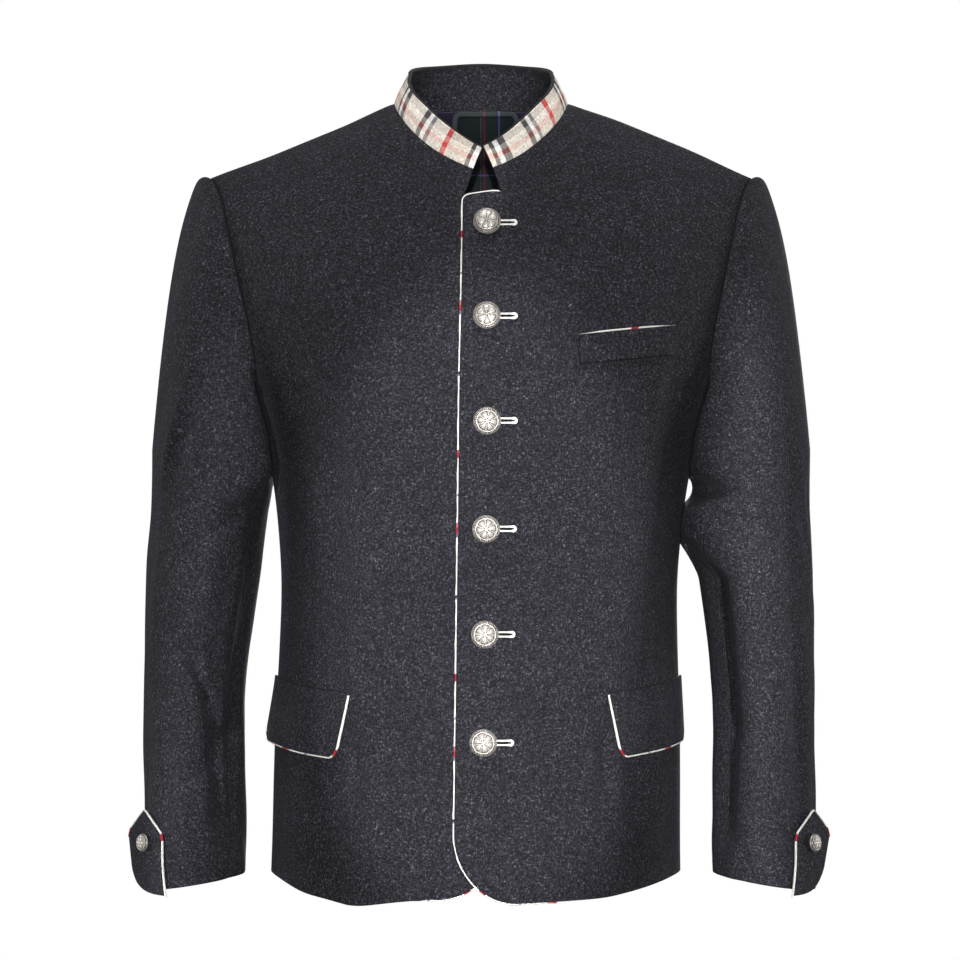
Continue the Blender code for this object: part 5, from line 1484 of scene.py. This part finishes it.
def lining(look):
    """Dark satin-backed plaid: navy, a green middle panel, thin dark-red and violet lines."""
    x, _, z = look.split(look.place)
    colour = look.blend(look.times(look.noise("satin"), SATIN_SHARE), NAVY, PALE_NAVY)
    half = look.times(look.math("SUBTRACT", PANEL_TOP_Z, z), PANEL_SPREAD, PANEL_HALF)
    off = look.math("ABSOLUTE", look.math("SUBTRACT", x, PANEL_X))
    inside = look.mapped(look.math("SUBTRACT", half, off), 0.0, PANEL_EDGE)
    colour = look.blend(inside, colour, GREEN)
    for axis, lines in ((x, LINING_X), (z, LINING_Z)):
        for centre, width, shade in lines:
            away = look.math("ABSOLUTE", look.math("SUBTRACT", axis, centre))
            on = look.mapped(away, width, LINE_CORE * width, 0.0, LINE_STRENGTH)
            colour = look.blend(on, colour, shade)
    over, height = look.woven(x, z, LINING_PITCH)
    warp = look.noise("satin_thread")
    look.finish(look.shader("lining", look.dimmed(colour, warp), over, height, warp))


PEWTER_SHADES = (
    # height of the relief, colour: dark in the cut lines and at the foot of each raised form
    (0.00, linear(24, 22, 20)),
    (0.18, linear(44, 41, 38)),
    (0.22, linear(186, 180, 172)),
    (0.28, linear(186, 180, 172)),
    (0.31, linear(30, 28, 26)),
    (0.39, linear(38, 35, 33)),
    (0.44, linear(188, 182, 174)),
    (1.00, linear(204, 199, 191)),
)
PATINA_RANGE = (-0.020, 0.060)


def pewter(look):
    """Silvered pewter with a darker patina in the low parts of the relief."""
    shade = look.ramp(look.mapped(look.v, *PATINA_RANGE), PEWTER_SHADES)
    worn = look.noise("wear")
    look.finish(look.shader("pewter", look.dimmed(shade, worn), worn, worn))


# ---------------------------------------------------------------- the whole jacket
MATERIALS, PIECES = {}, {}
for slot, name, paint in (
    ("loden", "wool_loden", loden), ("check", "linen_check", check),
    ("piping", "check_piping", piping), ("binding", "ribbed_binding", binding),
    ("lining", "plaid_lining", lining), ("pewter", "pewter_patina", pewter),
):
    look = Look(name)
    paint(look)
    MATERIALS[slot] = look.made


def place_piece(key, thing, slot, *nodes):
    thing.data.materials.append(MATERIALS[slot])
    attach(thing, "root")
    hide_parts(*nodes)
    PIECES[key] = thing


def cloth(key, name, sheet, node, slot="loden", thickness=CLOTH, sink=0.0):
    place_piece(key, shell(name, sheet, thickness, sink), slot, node)


def trim(key, name, parts, node, slot="piping", smooth=SMOOTH):
    place_piece(key, joined(name, parts, smooth), slot, node)


def build_collar(collar):
    cloth("collar_outer", "stand_collar", collar, "collar_outer", "check", COLLAR_CLOTH)
    facing = collar.part(slice(None))
    facing.uv = np.full_like(collar.uv, NO_SEAM)
    cloth("collar_inner", "collar_facing", facing, "collar_inner", "loden", COLLAR_CLOTH,
          COLLAR_CLOTH + GAP)
    top = np.arange(len(collar.points) - collar.shape[1], len(collar.points))
    trim("binding", "collar_braid", [strip(collar, top, BINDING_SECTION)], "collar_binding",
         "binding", BRAID_SMOOTH)


def build_panels(name, front, back, top_sleeve, under_sleeve):
    cloth("front_" + name, "front_panel_" + name, front, "front_" + name)
    cloth("back_" + name, "back_panel_" + name, back, "back_" + name)
    cloth("top_" + name, "top_sleeve_" + name, top_sleeve, "sleeve_top_" + name)
    cloth("under_" + name, "under_sleeve_" + name, under_sleeve, "sleeve_under_" + name)
    rows = np.repeat(np.arange(back.shape[0] - 1), back.shape[1] - 1)
    cloth("lining_" + name, "neck_lining_" + name, back.part(rows >= LINING_ROW),
          "lining_back_" + name, "lining", LINING_CLOTH, CLOTH + GAP)


def build_front_piping(side, name, front):
    hem = np.linalg.norm(front.grid()[0] - front.points[0], axis=1)
    last = int(np.searchsorted(hem[:LAP_COLUMNS + SIDE_COLUMNS], HEM_PIPING[side]))
    path = edge_path(front, [(NOTCH_ROW, LAP_COLUMNS), (NOTCH_ROW, 0), (0, 0), (0, last)])
    piped = strip(front, path, piping_section(*EDGE_PIPING), PIPING_SHIFT, uneven=UNEVEN)
    trim("edge_" + name, "front_edging_" + name, [piped], "front_piping_" + name)


def build_pocket_and_cuff(side, name):
    flap, tab = flap_sheet(side), tab_sheet(side)
    share_normals([flap])
    share_normals([tab])
    rows, columns = (count - 1 for count in flap.shape)
    path = edge_path(flap, [(1, 0), (rows, 0), (rows, columns)])
    cloth("flap_" + name, "hip_flap_" + name, flap, "pocket_flap_" + name)
    trim("flap_piping_" + name, "flap_edging_" + name, [strip(flap, path, piping_section())],
         "flap_piping_" + name)
    path = edge_path(tab, [(TAB_ROWS, 0), (0, 0), (0, TAB_COLUMNS)])
    cloth("tab_" + name, "tab_of_cuff_" + name, tab, "cuff_tab_" + name)
    trim("tab_piping_" + name, "tab_edging_" + name, [strip(tab, path, piping_section())],
         "tab_piping_" + name)
    dome = button_data(*tab_button(side), CUFF_BUTTON_RADIUS, -2 * GAP)
    trim("cuff_button_" + name, "cuff_dome_" + name, [dome], "cuff_button_" + name, "pewter")


def build_welt():
    welt = welt_sheet()
    share_normals([welt])
    cloth("welt", "breast_welt", welt, "chest_welt", thickness=WELT_CLOTH)
    share = shares(WELT_COLUMNS)
    taper = mix(WELT_TAPER, 1.0, ease(share / WELT_FADE) * ease((1 - share) / WELT_FADE))
    path = edge_path(welt, [(0, 0), (0, WELT_COLUMNS)])
    piped = strip(welt, path, piping_section(), size=WELT_FULL * taper)
    trim("welt_piping", "welt_edging", [piped], "welt_piping")


def build_buttons():
    head = CLEAR + LIP_THICK + GAP
    foot = -(CLEAR + LIP_THICK + 2 * LAYER - GAP)
    for number, z in enumerate(BUTTON_HEIGHTS, start=1):
        centre, normal, across, up = front_frame(1, BUTTON_X, z)
        dome = button_data(centre + normal * head, normal, BUTTON_RADIUS, foot,
                           BUTTON_TURN * number)
        trim(f"button_{number}", f"dome_{number}", [dome], f"button_{number}", "pewter")
        trim(f"lips_{number}", f"buttonhole_lips_{number}",
             lip_data(centre, normal, across, up), f"buttonhole_{number}")


def build_jacket():
    fronts = {side: front_sheet(side) for side in SIDES}
    backs = {side: back_sheet(side) for side in SIDES}
    loops = {side: armhole_loop(fronts[side], backs[side]) for side in SIDES}
    sleeves = {side: sleeve_sheet(side, *loops[side]) for side in SIDES}
    collar = collar_sheet(fronts, backs)
    share_normals([*fronts.values(), *backs.values(), *sleeves.values(), collar])
    build_collar(collar)
    for side, name in SIDES.items():
        parts = sleeve_parts(sleeves[side], loops[side][1])
        build_panels(name, fronts[side], backs[side], *parts)
        build_front_piping(side, name, fronts[side])
        build_pocket_and_cuff(side, name)
    trim("loop", "neck_loop", [hanger_loop()], "hanger_loop", "lining", BRAID_SMOOTH)
    build_welt()
    build_buttons()


LINING_ROW = int(np.argmin(np.abs(LEVELS - LINING_LEVEL)))
build_jacket()


# ---------------------------------------------------------------- camera, light and floor
AREA_LIGHTS = (
    # name, place, target, size across and up, watts
    ("fill", (0.0, -2.4, -0.45), (0.0, 0.0, -0.40), (0.7, 0.9), 35.5),
    ("side_left", (2.3, 0.35, -0.45), (0.25, 0.0, -0.45), (0.5, 1.2), 24.0),
    ("side_right", (-2.3, 0.35, -0.45), (-0.25, 0.0, -0.45), (0.5, 1.2), 22.0),
    ("top", (0.0, -0.75, 2.1), (0.0, 0.02, -0.1), (1.2, 0.8), 40.0),
    ("back", (0.5, 2.6, 0.1), (0.0, 0.0, -0.35), (1.4, 1.4), 84.0),
)
SPOT_LIGHTS = (
    # name, place, target, half widths of the pool across and up at the target, watts, roll
    ("key", (0.002, -2.35, -0.436), (0.002, -0.13, -0.436), (0.168, 0.322), 203.0, 0.0),
    ("sleeve_left", (0.80, -2.22, -0.40), (0.2365, -0.10, -0.47), (0.032, 0.35), 262.0, 0.0),
    ("sleeve_right", (-1.40, -2.00, -0.36), (-0.247, -0.09, -0.47), (0.031, 0.33), 165.0, -4.0),
    ("hip_left", (1.0, -2.1, -0.52), (0.163, -0.06, -0.60), (0.034, 0.15), 78.0, 0.0),
    ("hip_right", (-1.0, -2.1, -0.52), (-0.166, -0.06, -0.61), (0.030, 0.13), 66.0, 0.0),
    ("neck", (0.0, -2.3, 0.03), (0.0, 0.05, 0.03), (0.085, 0.055), 106.0, 0.0),
    ("notch", (0.003, -2.3, -0.078), (0.003, 0.0, -0.078), (0.017, 0.050), 135.0, 0.0),
)
SPOT_BLEND, SPOT_SIZE = 0.5, 0.02
LENS, SENSOR, FARTHEST = 129.3, 36.0, 50.0
SHIFT_X, CAMERA_PLACE = -1 / 960, (0.0, -3.0, -0.3264)
FLOOR_Z, FLOOR_GLOW, AMBIENT = -1.45, 0.50, 0.055
FLOOR_RADII, FLOOR_SIDES, FLOOR_FADE = (0.8, 1.6, 2.4, 3.2), 48, (1.2, 3.1)
FLOOR_GREYS = (0.90, 0.90, 0.90, 1.0), (0.93, 0.93, 0.93, 1.0)


def add_light(kind, name, place, target, watts):
    light = bpy.data.lights.new(name, kind)
    light.energy = watts
    thing = linked(bpy.data.objects.new(name, light))
    thing.location = place
    way = Vector(target) - Vector(place)
    thing.rotation_euler = way.to_track_quat("-Z", "Y").to_euler()
    thing.visible_camera = False
    return thing, light, way.length


def build_lights():
    for name, place, target, size, watts in AREA_LIGHTS:
        thing, light, away = add_light("AREA", name, place, target, watts)
        light.shape = "RECTANGLE"
        light.size, light.size_y = size
    for name, place, target, reach, watts, roll in SPOT_LIGHTS:
        thing, light, away = add_light("SPOT", name, place, target, watts)
        light.spot_size = 2 * math.atan(reach[1] / away)
        light.spot_blend = SPOT_BLEND
        light.shadow_soft_size = SPOT_SIZE
        thing.rotation_euler.rotate_axis("Z", math.radians(roll))
        thing.scale = (reach[0] / reach[1], 1.0, 1.0)


def build_camera():
    camera = linked(bpy.data.objects.new("camera", bpy.data.cameras.new("camera")))
    camera.data.lens, camera.data.sensor_width = LENS, SENSOR
    camera.data.shift_x = SHIFT_X
    camera.data.clip_end = FARTHEST
    camera.location = CAMERA_PLACE
    camera.rotation_euler = (math.radians(90.0), 0.0, 0.0)
    bpy.context.scene.camera = camera


def build_floor():
    """A pale disc far below that fades out, lit a little from within and casting nothing."""
    turn = circle(FLOOR_SIDES)
    rings = [stacked(r * np.cos(turn), r * np.sin(turn), FLOOR_Z) for r in FLOOR_RADII]
    row, column = (index.ravel() for index in np.mgrid[0:len(rings) - 1, 0:FLOOR_SIDES])
    faces = [(0, 1 + k, 1 + (k + 1) % FLOOR_SIDES) for k in range(FLOOR_SIDES)]
    faces += (1 + quads(row, column, FLOOR_SIDES)[:, ::-1]).tolist()
    floor = make_mesh("studio_floor", np.concatenate([[(0.0, 0.0, FLOOR_Z)], *rings]), faces)
    look = Look("pale_floor")
    grain = look.noise("floor")
    colour = look.blend(grain, *FLOOR_GREYS)
    shader = look.shader("floor", colour, grain, glow=FLOOR_GLOW)
    x, y, _ = look.split(look.place)
    flat = look.add("CombineXYZ", {0: x, 1: y}).outputs[0]
    away = look.add("VectorMath", {0: flat}, operation="LENGTH").outputs["Value"]
    fade = look.mapped(away, *FLOOR_FADE, interpolation_type="SMOOTHSTEP")
    clear = look.add("BsdfTransparent").outputs[0]
    look.finish(look.add("MixShader", {0: fade, 1: shader, 2: clear}).outputs[0])
    floor.data.materials.append(look.made)
    floor.visible_diffuse = floor.visible_glossy = False


def build_world():
    """White where the camera sees it, and a faint even light everywhere else."""
    world = bpy.data.worlds.new("studio")
    world.use_nodes = True
    tree = world.node_tree
    tree.nodes.clear()
    seen = add(tree, "LightPath").outputs["Is Camera Ray"]
    strength = add(tree, "MapRange", {0: seen, 3: AMBIENT, 4: 1.0}).outputs[0]
    back = add(tree, "Background", {"Color": WHITE, "Strength": strength}).outputs[0]
    add(tree, "OutputWorld", {0: back})
    bpy.context.scene.world = world
    bpy.context.scene.view_settings.view_transform = "Standard"


build_camera()
build_lights()
build_floor()
build_world()
